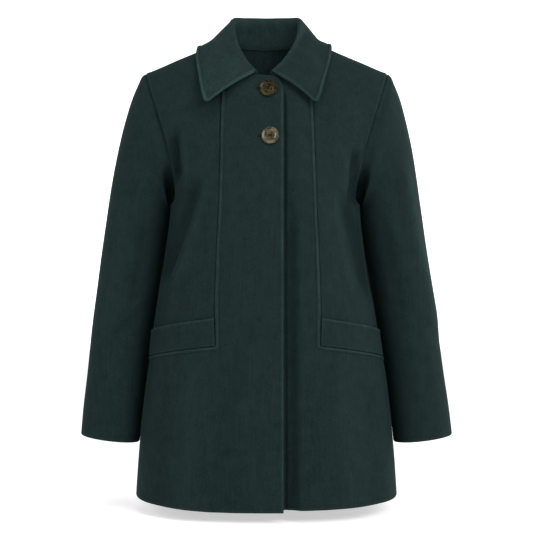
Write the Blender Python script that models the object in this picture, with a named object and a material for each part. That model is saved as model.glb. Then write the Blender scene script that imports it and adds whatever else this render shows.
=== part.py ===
"""Short woollen overcoat, filled out as when it is worn, with nobody in it.

Sizes are in millimetres and become metres where a mesh is made. The front faces -Y, and the
wearer's right is -X. Height zero is where the shoulder seams meet the neckline, and the origin
is the middle of the neck at that height.

A place on the cloth has two coordinates. u runs round the body: -1 to 1 across the centre front,
0 on the centre line, 1 on the panel seam, 2 on the side seam and 3 on the centre back. v runs
down: 0 at the neckline and shoulder seam, 1 at the underarm and 2 at the hem.
"""
import math

import bmesh
import bpy
import numpy as np
from mathutils import Matrix
from mathutils import Vector
from mathutils.bvhtree import BVHTree

MM = 0.001

# Cloth and sewing; smooth angles in degrees
CLOTH_SMOOTH_ANGLE = 40.0
BUTTON_SMOOTH_ANGLE = 50.0
CLOTH = 2.2
COLLAR_CLOTH = 3.0
SEAM_GAP = 0.3
NECK_GAP = 0.5
ARMHOLE_GAP = 0.5

# Wearer's sides
RIGHT = -1
LEFT = 1

# Neck and shoulders
NECK_HALF = 68.0
NECK_FRONT_Y = -90.0
NECK_FRONT_Z = -64.0
NECK_BACK_Y = 62.0
NECK_BACK_Z = -2.0
NECK_SIDE_Z = 4.0
NECK_DIP = 1.25
SHOULDER_X = 195.0
SHOULDER_Z = -50.5

# Body: half sections are superellipses, and a point inside tells which way is out
CHEST_Z = -262.0
HEM_Z = -736.0
HEM_RISE = 8.5
LEFT_HEM_RISE = 3.0
ROUNDNESS = 2.35
BODY_HEART_Y = -10.0
BODY_HEART_FALL = 60.0

# Front closing
SEAM_NOMINAL = 80.0
STRAIGHT_HALF = 30.0
OVERLAP = 26.0
CORNER_FLAT = 4.0
CORNER_DROP = 38.0
CLOSURE_SHIFT = 2.5
RECESS = 3.6
RECESS_HEM = 6.0
RECESS_START_Z = -300.0
RECESS_FROM = 27.0
RECESS_TO = 54.0

# Arch of the upper body: 1 is straight, 2 is an ellipse
ARCH_CENTRE = 1.2
ARCH_SEAM = 1.6
ARCH_SHOULDER = 1.85
ARCH_BACK = 1.5
BACK_SHOULDER_SHARE = 0.6

# Armhole
ARMHOLE_FRONT_SCOOP = 26.0
ARMHOLE_BACK_SCOOP = 12.0
ARMHOLE_FRONT_Y = -70.0
ARMHOLE_BACK_Y = 68.0
ARMHOLE_EASE = 1.3
ARMHOLE_SCOOP_START = 0.8
ARMHOLE_HIGH_SHARE = 0.85
ARMHOLE_LOW_SHARE = 1.15

# Pocket welts
WELT_TOP_Z = -441.0
WELT_FOOT_Z = -483.0
WELT_SLOPE = 28.0
WELT_SLOPE_REACH = 70.0
WELT_CLOTH = 2.4
WELT_LIFT_FOOT = 0.3
WELT_LIFT_TOP = 2.2

# Buttons
BUTTON_SIDES = 32
BUTTON_HOLE_RADIUS = 1.1
BUTTON_HOLE_OFFSET = 2.0
BUTTON_SEAT = 0.3
BUTTON_BACK_RADIUS = 11.6
HOLE_SIDES = 10
CUTTER_LENGTH = 20.0
RAY_START_Y = -400.0

# Lattice: columns and rows of each piece
CENTRE_RIGHT = (-26.0, -19.0, -11.0, 0.0, 13.0, 30.0, 47.0, 64.0, 80.0)
CENTRE_LEFT = (-26.0, -12.0, 0.0, 10.0, 26.5, 38.0, 52.0, 66.0, 80.0)
SIDE_COLUMNS = 7
BACK_NECK_COLUMNS = 4
UPPER_ROWS = 12
ROWS_ABOVE_WELT = 5
ROWS_ON_WELT = 2
ROWS_BELOW_WELT = 6
COLLAR_SPLIT = 2
COLLAR_END_RIGHT = 13.0
COLLAR_END_LEFT = 10.0
FALL_SHARES = (0.25, 0.5, 0.75, 0.93, 1.0)
PUSH_ROUNDS = 3
SLEEVE_LIFT = 3.5
SLEEVE_LEAN = 0.7
SLEEVE_DROP = 0.4
UNDERARM_SHARE = 0.15
SLEEVE_BOW = {RIGHT: 3.0, LEFT: -3.5}


def table(columns, *rows):
    """Return the rows' values as one array for each named column."""
    return dict(zip(columns.split(), np.array(rows, dtype=float).T))


BODY = table(
    "z half_width side_y front back",
    (-262, 158, 0, 136, 104),
    (-288, 160.4, -2, 136, 103),
    (-335, 165.0, -6, 136, 98),
    (-423, 176, -10, 137, 99),
    (-510, 188, -10, 142, 112),
    (-583, 197.5, -8, 146, 124),
    (-648, 204, -5, 149, 133),
    (-736, 210.5, 0, 151, 142),
)

PANEL_SEAM = table(
    "z x",
    (-262, 75.5),
    (-332, 79.5),
    (-441, 82.0),
    (-482, 81.0),
    (-600, 84.0),
    (-736, 88.0),
)

SLEEVE = table(
    "outer_x outer_y outer_z inner_x inner_y inner_z half_depth keep",
    (206, 1, -66, 161.6, 9, -266, 74, 0.7),
    (217, 3, -91, 161.6, 18, -273, 74.5, 0.45),
    (227, 6, -124, 161.6, 25, -283, 73.5, 0.2),
    (236, 8, -162, 162.4, 28, -298, 72, 0.05),
    (245, 9, -209, 163.5, 32, -318, 70, 0),
    (253, 10, -261, 166.3, 33, -345, 68.5, 0),
    (261, 9, -317, 170.8, 32, -378, 67, 0),
    (268.5, 8, -371, 175.8, 29, -415, 65, 0),
    (276, 6, -429, 182.2, 25, -460, 62.5, 0),
    (283.5, 4, -489, 189.5, 20, -511, 60, 0),
    (290, 2, -543, 196, 14, -560, 57.5, 0),
    (295.5, 0, -589, 201.5, 8, -603, 55, 0),
    (300, -2, -632, 206, 3, -645, 53, 0),
)

# From the centre back (0) round to each front end (1), along the neckline
COLLAR = table(
    "along fold_x fold_y fold_z fold_shift edge_x edge_y edge_z edge_shift roll bulge clear",
    (0.00, 0, 57, 48.5, 0, 0, 87, -38, 0, 4.0, 5, 2.5),
    (0.22, 36, 51, 48, 0, 62, 74, -32, 2.0, 4.0, 5, 2.5),
    (0.34, 54.5, 35, 45, 0, 94, 46, -19, 3.5, 4.0, 4, 5.0),
    (0.46, 56, 8, 29.5, 0, 104.5, 2, -12, 3.8, 4.0, 4, 7.2),
    (0.60, 52, -22, 7.5, 0.5, 105.5, -38, -33, 5.4, 3.6, 4, 6.0),
    (0.75, 42, -50, -16.5, 1.5, 99, -76, -65, 6.8, 3.2, 4, 2.5),
    (0.88, 27.5, -72, -40.5, 2.7, 93.3, -97, -90, 7.8, 2.8, 4, 2.5),
    (1.00, 12.5, -92, -58, 3.5, 87, -109, -110.5, 8.2, 2.4, 3, 2.5),
)

# Creases pressed into the cloth (plus) or lifted out of it (minus), in the front view
FOLDS = table(
    "side sleeve x1 z1 x2 z2 width depth",
    (RIGHT, 0, -142, -168, -138, -212, 15, 6.0),
    (RIGHT, 0, -108, -246, -150, -384, 20, 3.5),
    (LEFT, 0, 131, -178, 126, -226, 15, 6.0),
    (LEFT, 0, 122, -250, 150, -398, 18, 4.0),
    (LEFT, 1, 228, -232, 264, -560, 14, -2.5),
    (RIGHT, 1, -230, -260, -258, -470, 16, -1.5),
)

BUTTONS = table("x z", (2.5, -86), (5.5, -161))

BUTTON_PROFILE = (
    (0.0, 0.0),
    (BUTTON_BACK_RADIUS, 0.0),
    (13.4, 0.9),
    (14.0, 2.2),
    (13.6, 3.4),
    (12.4, 4.1),
    (9.4, 3.4),
    (7.4, 3.9),
    (5.6, 3.9),
    (4.6, 2.8),
    (0.0, 2.8),
)


def smooth(at, places, values):
    """Read a smooth curve through rising places and their values."""
    slopes = np.gradient(values, places)
    at = np.clip(np.asarray(at, dtype=float), places[0], places[-1])
    low = np.clip(np.searchsorted(places, at, side="right") - 1, 0, len(places) - 2)
    step = places[low + 1] - places[low]
    t = (at - places[low]) / step
    start = (1 + 2 * t) * (1 - t) ** 2 * values[low] + t * (1 - t) ** 2 * step * slopes[low]
    end = t ** 2 * (3 - 2 * t) * values[low + 1] + t ** 2 * (t - 1) * step * slopes[low + 1]
    return start + end


def at_height(rows, column, z):
    """Read a column of a table whose rows go down from the top."""
    return smooth(z, rows["z"][::-1], rows[column][::-1])


def ease(value):
    """Rise smoothly from 0 to 1."""
    value = np.clip(value, 0.0, 1.0)
    return value * value * (3 - 2 * value)


def points(x, y, z):
    """Stack three coordinates into points."""
    return np.stack(np.broadcast_arrays(x, y, z), axis=-1).astype(float)


def unit(vectors):
    """Scale vectors to length one."""
    return vectors / np.maximum(np.linalg.norm(vectors, axis=-1, keepdims=True), 1e-9)


def centre_x(u, seam):
    """Across the centre front: true width near the middle, then stretched to the seam."""
    nominal = np.minimum(np.abs(u), 1.0) * SEAM_NOMINAL
    plain = np.minimum(nominal, STRAIGHT_HALF)
    stretch = (seam - STRAIGHT_HALF) / (SEAM_NOMINAL - STRAIGHT_HALF)
    return np.sign(u) * (plain + (nominal - plain) * stretch)


def welt_drop(z):
    """How far the rows near the pocket fall towards the side seam."""
    middle = (WELT_TOP_Z + WELT_FOOT_Z) / 2
    return WELT_SLOPE * np.exp(-((z - middle) / WELT_SLOPE_REACH) ** 2)


def hem_rise(z):
    """How far the rows near the hem rise towards the side seam."""
    return HEM_RISE * np.clip((CHEST_Z - z) / (CHEST_Z - HEM_Z), 0, 1) ** 3


def lower_front(side, u, row_z):
    """Front below the underarm."""
    share = np.clip(u - 1, 0, 1)
    z = row_z - welt_drop(row_z) * share + hem_rise(row_z) * share
    z = z + LEFT_HEM_RISE * (hem_rise(row_z) / HEM_RISE) * (1 - share) * (side == LEFT)
    half = at_height(BODY, "half_width", z)
    middle = at_height(BODY, "side_y", z)
    depth = at_height(BODY, "front", z) + middle
    seam = at_height(PANEL_SEAM, "x", z) + side * CLOSURE_SHIFT
    power = 2 / ROUNDNESS
    turn = np.arcsin((np.abs(centre_x(u, seam)) / half) ** (1 / power))
    turn = turn + (math.pi / 2 - turn) * share
    x = np.sign(u) * half * np.sin(turn) ** power
    y = middle - depth * np.maximum(np.cos(turn), 0) ** power
    return points(x, y, z)


def lower_back(u, row_z):
    """Back below the underarm."""
    share = np.clip(3 - u, 0, 1)
    z = row_z + (hem_rise(row_z) - welt_drop(row_z)) * share ** 2
    power = 2 / ROUNDNESS
    turn = share * math.pi / 2
    middle = at_height(BODY, "side_y", z)
    x = at_height(BODY, "half_width", z) * np.sin(turn) ** power
    y = middle + (at_height(BODY, "back", z) - middle) * np.maximum(np.cos(turn), 0) ** power
    return points(x, y, z)


def shoulder(share):
    """Shoulder seam from the neck (0) to the tip (1)."""
    x = NECK_HALF + (SHOULDER_X - NECK_HALF) * share
    z = NECK_SIDE_Z + (SHOULDER_Z - NECK_SIDE_Z) * share
    return points(x, 0.0, z)


def top_front(u):
    """Front neckline from the centre, then the shoulder seam."""
    x = centre_x(u, NECK_HALF)
    hollow = np.sqrt(np.maximum(1 - (x / NECK_HALF) ** 2, 0))
    z = NECK_SIDE_Z + (NECK_FRONT_Z - NECK_SIDE_Z) * hollow ** NECK_DIP
    neck = points(x, NECK_FRONT_Y * hollow, z)
    return np.where((u > 1)[..., None], shoulder(np.clip(u - 1, 0, 1)), neck)


def top_back(u):
    """Shoulder seam from its tip, then the back neckline to the centre."""
    share = np.clip(u - 2, 0, 1)
    turn = np.clip((share - BACK_SHOULDER_SHARE) / (1 - BACK_SHOULDER_SHARE), 0, 1)
    x = NECK_HALF * np.cos(turn * math.pi / 2)
    y = NECK_BACK_Y * np.sin(turn * math.pi / 2)
    z = NECK_SIDE_Z + (NECK_BACK_Z - NECK_SIDE_Z) * turn
    on_shoulder = (share < BACK_SHOULDER_SHARE)[..., None]
    return np.where(on_shoulder, shoulder(1 - share / BACK_SHOULDER_SHARE), points(x, y, z))


def armhole(v, scoop, depth):
    """Armhole edge from the shoulder tip to the underarm."""
    turn = np.clip(v, 0, 1) * math.pi
    under_x = BODY["half_width"][0]
    low = (1 - np.cos(turn)) / 2
    x = SHOULDER_X + (under_x - SHOULDER_X) * low - scoop * np.sin(turn) * low ** ARMHOLE_SCOOP_START
    y = depth * np.sin(turn) * (ARMHOLE_HIGH_SHARE + (ARMHOLE_LOW_SHARE - ARMHOLE_HIGH_SHARE) * low)
    z = SHOULDER_Z + (CHEST_Z - SHOULDER_Z) * low
    return points(x, y, z)


def arch(top, chest, v, power):
    """Carry the cloth from its top edge over to the chest."""
    turn = np.clip(v, 0, 1) * math.pi / 2
    forward = np.sin(turn) ** (2 / power)
    down = 1 - np.maximum(np.cos(turn), 0) ** (2 / power)
    weights = points(down, forward, down)
    return top + (chest - top) * weights


def below_corner(u, v):
    """Start the overlap's columns lower, so that its top corner is rounded."""
    past = np.clip((-u * SEAM_NOMINAL - CORNER_FLAT) / (OVERLAP - CORNER_FLAT), 0, 1)
    drop = CORNER_DROP * (1 - np.sqrt(1 - past ** 2)) / (NECK_FRONT_Z - CHEST_Z)
    first = np.arccos((1 - drop) ** (ARCH_CENTRE / 2)) * 2 / math.pi
    return np.where(v < 1, first + (1 - first) * v, v)


def front_surface(side, u, v):
    """Cloth of a front, on the wearer's left; the right one is its mirror image."""
    u, v = np.broadcast_arrays(np.asarray(u, dtype=float), np.asarray(v, dtype=float))
    v = below_corner(u, v)
    row_z = CHEST_Z + (HEM_Z - CHEST_Z) * np.clip(v - 1, 0, 1)
    share = np.clip(u - 1, 0, 1)
    across = np.minimum(np.abs(u), 1)
    power = ARCH_CENTRE + (ARCH_SEAM - ARCH_CENTRE) * across + (ARCH_SHOULDER - ARCH_SEAM) * share
    chest = lower_front(side, u, np.full_like(v, CHEST_Z))
    upper = arch(top_front(u), chest, v, power)
    edge = armhole(v, ARMHOLE_FRONT_SCOOP, ARMHOLE_FRONT_Y)
    underarm = lower_front(side, np.full_like(v, 2.0), np.full_like(v, CHEST_Z))
    side_line = arch(shoulder(np.ones_like(v)), underarm, v, ARCH_SHOULDER)
    upper = upper + (edge - side_line) * (share ** ARMHOLE_EASE)[..., None]
    return np.where((v > 1)[..., None], lower_front(side, u, row_z), upper)


def back_surface(u, v):
    """Cloth of the back, on the wearer's left."""
    u, v = np.broadcast_arrays(np.asarray(u, dtype=float), np.asarray(v, dtype=float))
    row_z = CHEST_Z + (HEM_Z - CHEST_Z) * np.clip(v - 1, 0, 1)
    share = np.clip(3 - u, 0, 1)
    power = ARCH_BACK + (ARCH_SHOULDER - ARCH_BACK) * share
    chest = lower_back(u, np.full_like(v, CHEST_Z))
    edge = armhole(v, ARMHOLE_BACK_SCOOP, ARMHOLE_BACK_Y)
    underarm = lower_back(np.full_like(v, 2.0), np.full_like(v, CHEST_Z))
    side_line = arch(shoulder(np.ones_like(v)), underarm, v, ARCH_SHOULDER)
    upper = arch(top_back(u), chest, v, power)
    upper = upper + (edge - side_line) * (share ** ARMHOLE_EASE)[..., None]
    return np.where((v > 1)[..., None], lower_back(u, row_z), upper)


def lattice_normals(grid):
    """Outward normals of a grid whose columns run to the wearer's left."""
    return unit(np.cross(np.gradient(grid, axis=0), np.gradient(grid, axis=1)))


def fold_depth(side, sleeve, grid):
    """How far the creases press each point of a piece in."""
    depth = np.zeros(grid.shape[:-1])
    x = grid[..., 0]
    z = grid[..., 2]
    for row in range(len(FOLDS["depth"])):
        fold = {name: column[row] for name, column in FOLDS.items()}
        if fold["side"] != side or fold["sleeve"] != sleeve:
            continue
        run_x = fold["x2"] - fold["x1"]
        run_z = fold["z2"] - fold["z1"]
        length = math.hypot(run_x, run_z)
        along = ((x - fold["x1"]) * run_x + (z - fold["z1"]) * run_z) / length
        aside = ((x - fold["x1"]) * run_z - (z - fold["z1"]) * run_x) / length
        fade = ease(along / fold["width"] + 0.5) * ease((length - along) / fold["width"] + 0.5)
        depth += fold["depth"] * fade * np.exp(-2 * (aside / fold["width"]) ** 2)
    return depth


def left_recess(grid):
    """How far the left front lies behind the right one, near the closing."""
    deeper = RECESS_HEM * ease((RECESS_START_Z - grid[..., 2]) / (RECESS_START_Z - HEM_Z))
    return (RECESS + deeper) * (1 - ease((grid[..., 0] - RECESS_FROM) / (RECESS_TO - RECESS_FROM)))


def row_places():
    """Places of the lattice rows, top to hem, with rows on the pocket welt's edges."""
    reach = CHEST_Z - HEM_Z
    welt_top = 1 + (CHEST_Z - WELT_TOP_Z) / reach
    welt_foot = 1 + (CHEST_Z - WELT_FOOT_Z) / reach
    return np.concatenate([
        np.linspace(0, 1, UPPER_ROWS + 1),
        np.linspace(1, welt_top, ROWS_ABOVE_WELT + 1)[1:],
        np.linspace(welt_top, welt_foot, ROWS_ON_WELT + 1)[1:],
        np.linspace(welt_foot, 2, ROWS_BELOW_WELT + 1)[1:],
    ])


class Half:
    """Lattices of one side of the body: the front, and half of the back."""

    def __init__(self, side, centre):
        v = row_places()[:, None]
        self.side = side
        self.seam = len(centre) - 1
        side_u = 1 + np.linspace(0, 1, SIDE_COLUMNS + 1)[1:]
        front_u = np.concatenate([np.array(centre) / SEAM_NOMINAL, side_u])
        shoulder_u = 2 + BACK_SHOULDER_SHARE * np.linspace(0, 1, SIDE_COLUMNS + 1)
        neck_u = 2 + np.linspace(BACK_SHOULDER_SHARE, 1, BACK_NECK_COLUMNS + 1)[1:]
        mirror = np.array([side, 1, 1])
        self.front = front_surface(side, front_u[None, :], v) * mirror
        self.back = back_surface(np.concatenate([shoulder_u, neck_u])[None, :], v) * mirror
        normals = self.normals()[0]
        press = fold_depth(side, 0, self.front)
        if side == LEFT:
            press = press + left_recess(self.front)
        self.front = self.front - normals * press[..., None]
        self.front_normals, self.back_normals = self.normals()

    def normals(self):
        """Outward normals of both lattices, the same for both where they meet at a seam."""
        front_u = np.gradient(self.front, axis=1)
        front_v = np.gradient(self.front, axis=0)
        back_u = np.gradient(self.back, axis=1)
        back_v = np.gradient(self.back, axis=0)
        side_u = (self.back[UPPER_ROWS:, 1] - self.front[UPPER_ROWS:, -2]) / 2
        front_u[UPPER_ROWS:, -1] = side_u
        back_u[UPPER_ROWS:, 0] = side_u
        over_shoulder = self.front[1, self.seam:] - self.back[1, SIDE_COLUMNS::-1]
        front_v[0, self.seam:] = over_shoulder
        back_v[0, SIDE_COLUMNS::-1] = -over_shoulder
        back_u[:, -1, 1:] = 0
        front_normals = unit(np.cross(front_v, front_u)) * self.side
        back_normals = unit(np.cross(back_v, back_u)) * self.side
        tip = unit(front_normals[0, -1] + back_normals[0, 0])
        front_normals[0, -1] = tip
        back_normals[0, 0] = tip
        neck_point = unit(front_normals[0, self.seam] + back_normals[0, SIDE_COLUMNS])
        front_normals[0, self.seam] = neck_point
        back_normals[0, SIDE_COLUMNS] = neck_point
        return front_normals, back_normals


def corner_counts(cells):
    """Which way the piece lies from each lattice point: along u, and along v."""
    padded = np.pad(cells.astype(int), 1)
    upper_left = padded[:-1, :-1]
    upper_right = padded[:-1, 1:]
    lower_left = padded[1:, :-1]
    lower_right = padded[1:, 1:]
    right_less_left = upper_right + lower_right - upper_left - lower_left
    lower_less_upper = lower_left + lower_right - upper_left - upper_right
    return np.sign(right_less_left), np.sign(lower_less_upper)


def seam_allowance(grid, cells):
    """Draw a piece's edges in by half of the gap at a seam."""
    move_u, move_v = corner_counts(cells)
    after_u = unit(np.diff(grid, axis=1))
    after_v = unit(np.diff(grid, axis=0))
    right = np.concatenate([after_u, after_u[:, -1:]], axis=1)
    left = -np.concatenate([after_u[:, :1], after_u], axis=1)
    down = np.concatenate([after_v, after_v[-1:]], axis=0)
    up = -np.concatenate([after_v[:1], after_v], axis=0)
    step_u = np.where((move_u > 0)[..., None], right, left) * np.abs(move_u)[..., None]
    step_v = np.where((move_v > 0)[..., None], down, up) * np.abs(move_v)[..., None]
    return grid + (step_u + step_v) * SEAM_GAP / 2


def add_object(name, bm, material, smooth_angle=CLOTH_SMOOTH_ANGLE):
    """Turn a closed mesh into a named object with its material."""
    bmesh.ops.recalc_face_normals(bm, faces=bm.faces)
    mesh = bpy.data.meshes.new(name)
    bm.to_mesh(mesh)
    bm.free()
    mesh.shade_smooth()
    mesh.set_sharp_from_angle(angle=math.radians(smooth_angle))
    mesh.materials.append(material)
    thing = bpy.data.objects.new(name, mesh)
    bpy.context.scene.collection.objects.link(thing)
    return thing


def add_wall(name, outer, inner, material, cells=None, tube=False):
    """Make a cloth wall between two lattices, with its edges closed."""
    rows, columns = outer.shape[:2]
    wide = columns if tube else columns - 1
    if cells is None:
        cells = np.ones((rows - 1, wide), dtype=bool)
    bm = bmesh.new()
    made = {}

    def vertex(layer, row, column):
        key = (layer, row, column % columns)
        if key not in made:
            place = (outer, inner)[layer][key[1], key[2]]
            made[key] = bm.verts.new(place * MM)
        return made[key]

    def filled(row, column):
        if tube:
            column %= wide
        return 0 <= row < rows - 1 and 0 <= column < wide and cells[row, column]

    for row, column in np.argwhere(cells):
        corners = [(row, column), (row, column + 1), (row + 1, column + 1), (row + 1, column)]
        bm.faces.new([vertex(0, *corner) for corner in corners])
        bm.faces.new([vertex(1, *corner) for corner in reversed(corners)])
        around = [(row - 1, column), (row, column + 1), (row + 1, column), (row, column - 1)]
        for step, beside in enumerate(around):
            if filled(*beside):
                continue
            start = corners[step]
            end = corners[(step + 1) % 4]
            rim = [vertex(0, *end), vertex(0, *start), vertex(1, *start), vertex(1, *end)]
            if (rim[0].co - rim[2].co).length > (rim[1].co - rim[3].co).length:
                rim = rim[1:] + rim[:1]
            bm.faces.new([rim[0], rim[1], rim[2]])
            bm.faces.new([rim[2], rim[3], rim[0]])
    return add_object(name, bm, material)


def add_panel(name, grid, normals, material, cells):
    """Make one cut panel of the body."""
    edge = seam_allowance(grid, cells)
    return add_wall(name, edge, edge - normals * CLOTH, material, cells)


def add_front(half, name, material):
    """Centre front with the lower front that runs on under the pocket."""
    cells = np.zeros((half.front.shape[0] - 1, half.front.shape[1] - 1), dtype=bool)
    cells[:, :half.seam] = True
    cells[-ROWS_BELOW_WELT:, half.seam:] = True
    add_panel(name, half.front, half.front_normals, material, cells)


def add_side_front(half, name, material):
    """Side front from the shoulder and armhole to the pocket seam."""
    cells = np.zeros((half.front.shape[0] - 1, half.front.shape[1] - 1), dtype=bool)
    cells[:-ROWS_BELOW_WELT, half.seam:] = True
    add_panel(name, half.front, half.front_normals, material, cells)


def add_back(right, left, name, material):
    """Back in one piece, from side seam to side seam."""
    grid = np.concatenate([right.back, left.back[:, -2::-1]], axis=1)
    normals = np.concatenate([right.back_normals, left.back_normals[:, -2::-1]], axis=1)
    cells = np.ones((grid.shape[0] - 1, grid.shape[1] - 1), dtype=bool)
    add_panel(name, grid, normals, material, cells)


def add_welt(half, name, material):
    """Pocket welt on the side front, standing off it at the top edge."""
    foot = half.front.shape[0] - 1 - ROWS_BELOW_WELT
    rows = slice(foot - ROWS_ON_WELT, foot + 1)
    columns = slice(half.seam, half.front.shape[1] - 1)
    normals = half.front_normals[rows, columns]
    cells = np.ones((normals.shape[0] - 1, normals.shape[1] - 1), dtype=bool)
    base = seam_allowance(half.front[rows, columns], cells)
    lift = np.linspace(WELT_LIFT_TOP, WELT_LIFT_FOOT, ROWS_ON_WELT + 1)[:, None, None]
    inner = base + normals * lift
    return add_wall(name, inner + normals * WELT_CLOTH, inner, material)


def armhole_ring(half):
    """Armhole edge as a closed ring, with the body's normals and the way out of the cloth."""
    front = (slice(0, UPPER_ROWS + 1), -1)
    back = (slice(UPPER_ROWS - 1, 0, -1), 0)
    ring = np.concatenate([half.front[front], half.back[back]])
    normals = np.concatenate([half.front_normals[front], half.back_normals[back]])
    along = unit(np.roll(ring, -1, axis=0) - np.roll(ring, 1, axis=0))
    away = unit(np.cross(normals, along)) * half.side
    return ring, normals, away


def sleeve_rings(half, ring):
    """Rings of the sleeve from the sleeve head to the cuff."""
    count = len(ring)
    turn = np.arange(count) * 2 * math.pi / count
    mirror = np.array([half.side, 1, 1])
    plain_ring = ring * mirror
    tip = plain_ring[0]
    under = plain_ring[UPPER_ROWS]
    cosine = np.cos(turn)[:, None]
    sine = np.sin(turn)[:, None]
    depth = np.array([0, (ARMHOLE_FRONT_Y - ARMHOLE_BACK_Y) / 2, 0])
    oval = (tip + under) / 2 + (tip - under) / 2 * cosine + depth * sine
    own_shape = plain_ring - oval
    own_shape[:, 0] *= UNDERARM_SHARE + (1 - UNDERARM_SHARE) * (1 + np.cos(turn)) / 2
    rings = []
    for row in range(len(SLEEVE["keep"])):
        size = {name: column[row] for name, column in SLEEVE.items()}
        outer = np.array([size["outer_x"], size["outer_y"], size["outer_z"]])
        inner = np.array([size["inner_x"], size["inner_y"], size["inner_z"]])
        front = np.array([0, -size["half_depth"], 0])
        bow = math.sin(math.pi * (SHOULDER_Z - size["outer_z"]) / (SHOULDER_Z - SLEEVE["outer_z"][-1]))
        outer[0] += SLEEVE_BOW[half.side] * bow
        oval = (outer + inner) / 2 + (outer - inner) / 2 * cosine + front * sine
        rings.append((oval + own_shape * size["keep"]) * mirror)
    return rings


def add_sleeve(half, name, material):
    """Set-in sleeve: one tube from the armhole to the open cuff."""
    ring, body_normals, away = armhole_ring(half)
    start = ring + away * ARMHOLE_GAP
    low = (1 - np.cos(np.arange(len(ring)) * 2 * math.pi / len(ring))) / 2
    lean = points(half.side * SLEEVE_LEAN * low, 0.0, SLEEVE_DROP * (low - 1))
    turned = start + unit(away + lean) * SLEEVE_LIFT
    outer = np.array([start, turned] + sleeve_rings(half, ring))
    around = (np.roll(outer, -1, axis=1) - np.roll(outer, 1, axis=1)) / 2
    normals = unit(np.cross(around, np.gradient(outer, axis=0))) * half.side
    facing = outer[..., 1] < outer[..., 1].mean(axis=1, keepdims=True)
    press = np.where(facing, fold_depth(half.side, 1, outer), 0)
    outer = outer - normals * press[..., None]
    inner = outer - normals * CLOTH
    inner[0] = start - body_normals * CLOTH
    return add_wall(name, outer, inner, material, tube=True)


def body_tree(halves):
    """Search tree over the outside of the body."""
    corners = []
    faces = []
    for half in halves:
        for grid in (half.front, half.back):
            rows, columns = grid.shape[:2]
            first = len(corners)
            corners.extend(Vector(place) for place in grid.reshape(-1, 3))
            for row in range(rows - 1):
                for column in range(columns - 1):
                    low = first + row * columns + column
                    faces.append((low, low + 1, low + 1 + columns, low + columns))
    return BVHTree.FromPolygons(corners, faces)


def push_clear(tree, place, clearance):
    """Move a point out until it stands clear of the body."""
    place = Vector(place)
    for _ in range(PUSH_ROUNDS):
        spot, normal, _, _ = tree.find_nearest(place)
        outward = spot - Vector((0, BODY_HEART_Y, spot.z - BODY_HEART_FALL))
        if normal.dot(outward) < 0:
            normal = -normal
        short = clearance - (place - spot).dot(normal)
        if short <= 0:
            break
        place = place + normal * short
    return np.array(place)


def neck_edge(right, left):
    """Neckline from the right collar end round the back to the left one, outside and inside."""
    right_end = CENTRE_RIGHT.index(COLLAR_END_RIGHT)
    left_end = CENTRE_LEFT.index(COLLAR_END_LEFT)
    runs = [
        (right.front[0, right_end:right.seam + 1], right.front_normals[0, right_end:right.seam + 1]),
        (right.back[0, SIDE_COLUMNS + 1:], right.back_normals[0, SIDE_COLUMNS + 1:]),
        (left.back[0, -2:SIDE_COLUMNS:-1], left.back_normals[0, -2:SIDE_COLUMNS:-1]),
        (left.front[0, left.seam:left_end - 1:-1], left.front_normals[0, left.seam:left_end - 1:-1]),
    ]
    edge = np.concatenate([row for row, _ in runs])
    normals = np.concatenate([normal for _, normal in runs])
    away = unit(np.cross(np.gradient(edge, axis=0), normals))
    outside = edge + away * NECK_GAP
    return split_run(outside), split_run(outside - normals * CLOTH)


def split_run(run):
    """Add points between those of a run."""
    places = np.arange((len(run) - 1) * COLLAR_SPLIT + 1) / COLLAR_SPLIT
    return np.stack([np.interp(places, np.arange(len(run)), run[:, axis]) for axis in range(3)], axis=-1)


def collar_stations(middle):
    """Read the collar's table at each station of the neckline."""
    length = np.concatenate([[0], np.cumsum(np.linalg.norm(np.diff(middle, axis=0), axis=1))])
    back = np.argmax(middle[:, 1])
    before = (length - length[back]) / length[back]
    after = (length - length[back]) / (length[-1] - length[back])
    along = np.where(np.arange(len(middle)) < back, before, after)
    read = {name: smooth(np.abs(along), COLLAR["along"], COLLAR[name]) for name in COLLAR}
    sign = np.sign(along)
    fold = points(sign * read["fold_x"] - read["fold_shift"], read["fold_y"], read["fold_z"])
    edge = points(sign * read["edge_x"] - read["edge_shift"], read["edge_y"], read["edge_z"])
    return fold, edge, read["roll"], read["bulge"], COLLAR_CLOTH / 2 + read["clear"]


def add_collar(right, left, tree, name, material):
    """Turn-down collar: the stand rises from the neckline and the fall lies over the shoulders."""
    outside, inside = neck_edge(right, left)
    middle = (outside + inside) / 2
    fold, edge, roll, bulge, clear = collar_stations(middle)
    run = unit(np.gradient(fold, axis=0))
    upright = np.array([0.0, 0.0, 1.0])
    up = unit(upright - run * (run @ upright)[:, None])
    out = unit(np.cross(up, run))
    out = out * np.sign(np.sum(out * (edge - fold), axis=1))[:, None]
    heart = fold - up * roll[:, None]
    stand_top = heart - out * roll[:, None]
    fall_top = heart + out * roll[:, None]
    lift = unit(np.cross(run, edge - fall_top))
    lift = lift * np.sign(np.sum(lift * (up + out), axis=1))[:, None]
    rows = [middle, (middle + stand_top) / 2, stand_top, fold, fall_top]
    for share in FALL_SHARES:
        rise = bulge * 4 * share * (1 - share)
        fall = fall_top + (edge - fall_top) * share + lift * rise[:, None]
        rows.append(np.array([push_clear(tree, place, room) for place, room in zip(fall, clear)]))
    path = np.array(rows)
    normals = lattice_normals(path)
    under = path + normals * COLLAR_CLOTH / 2
    upper = path - normals * COLLAR_CLOTH / 2
    if np.sum((under[0] - upper[0]) * (outside - inside)) < 0:
        under, upper = upper, under
    under[0] = outside
    upper[0] = inside
    return add_wall(name, under, upper, material)


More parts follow.
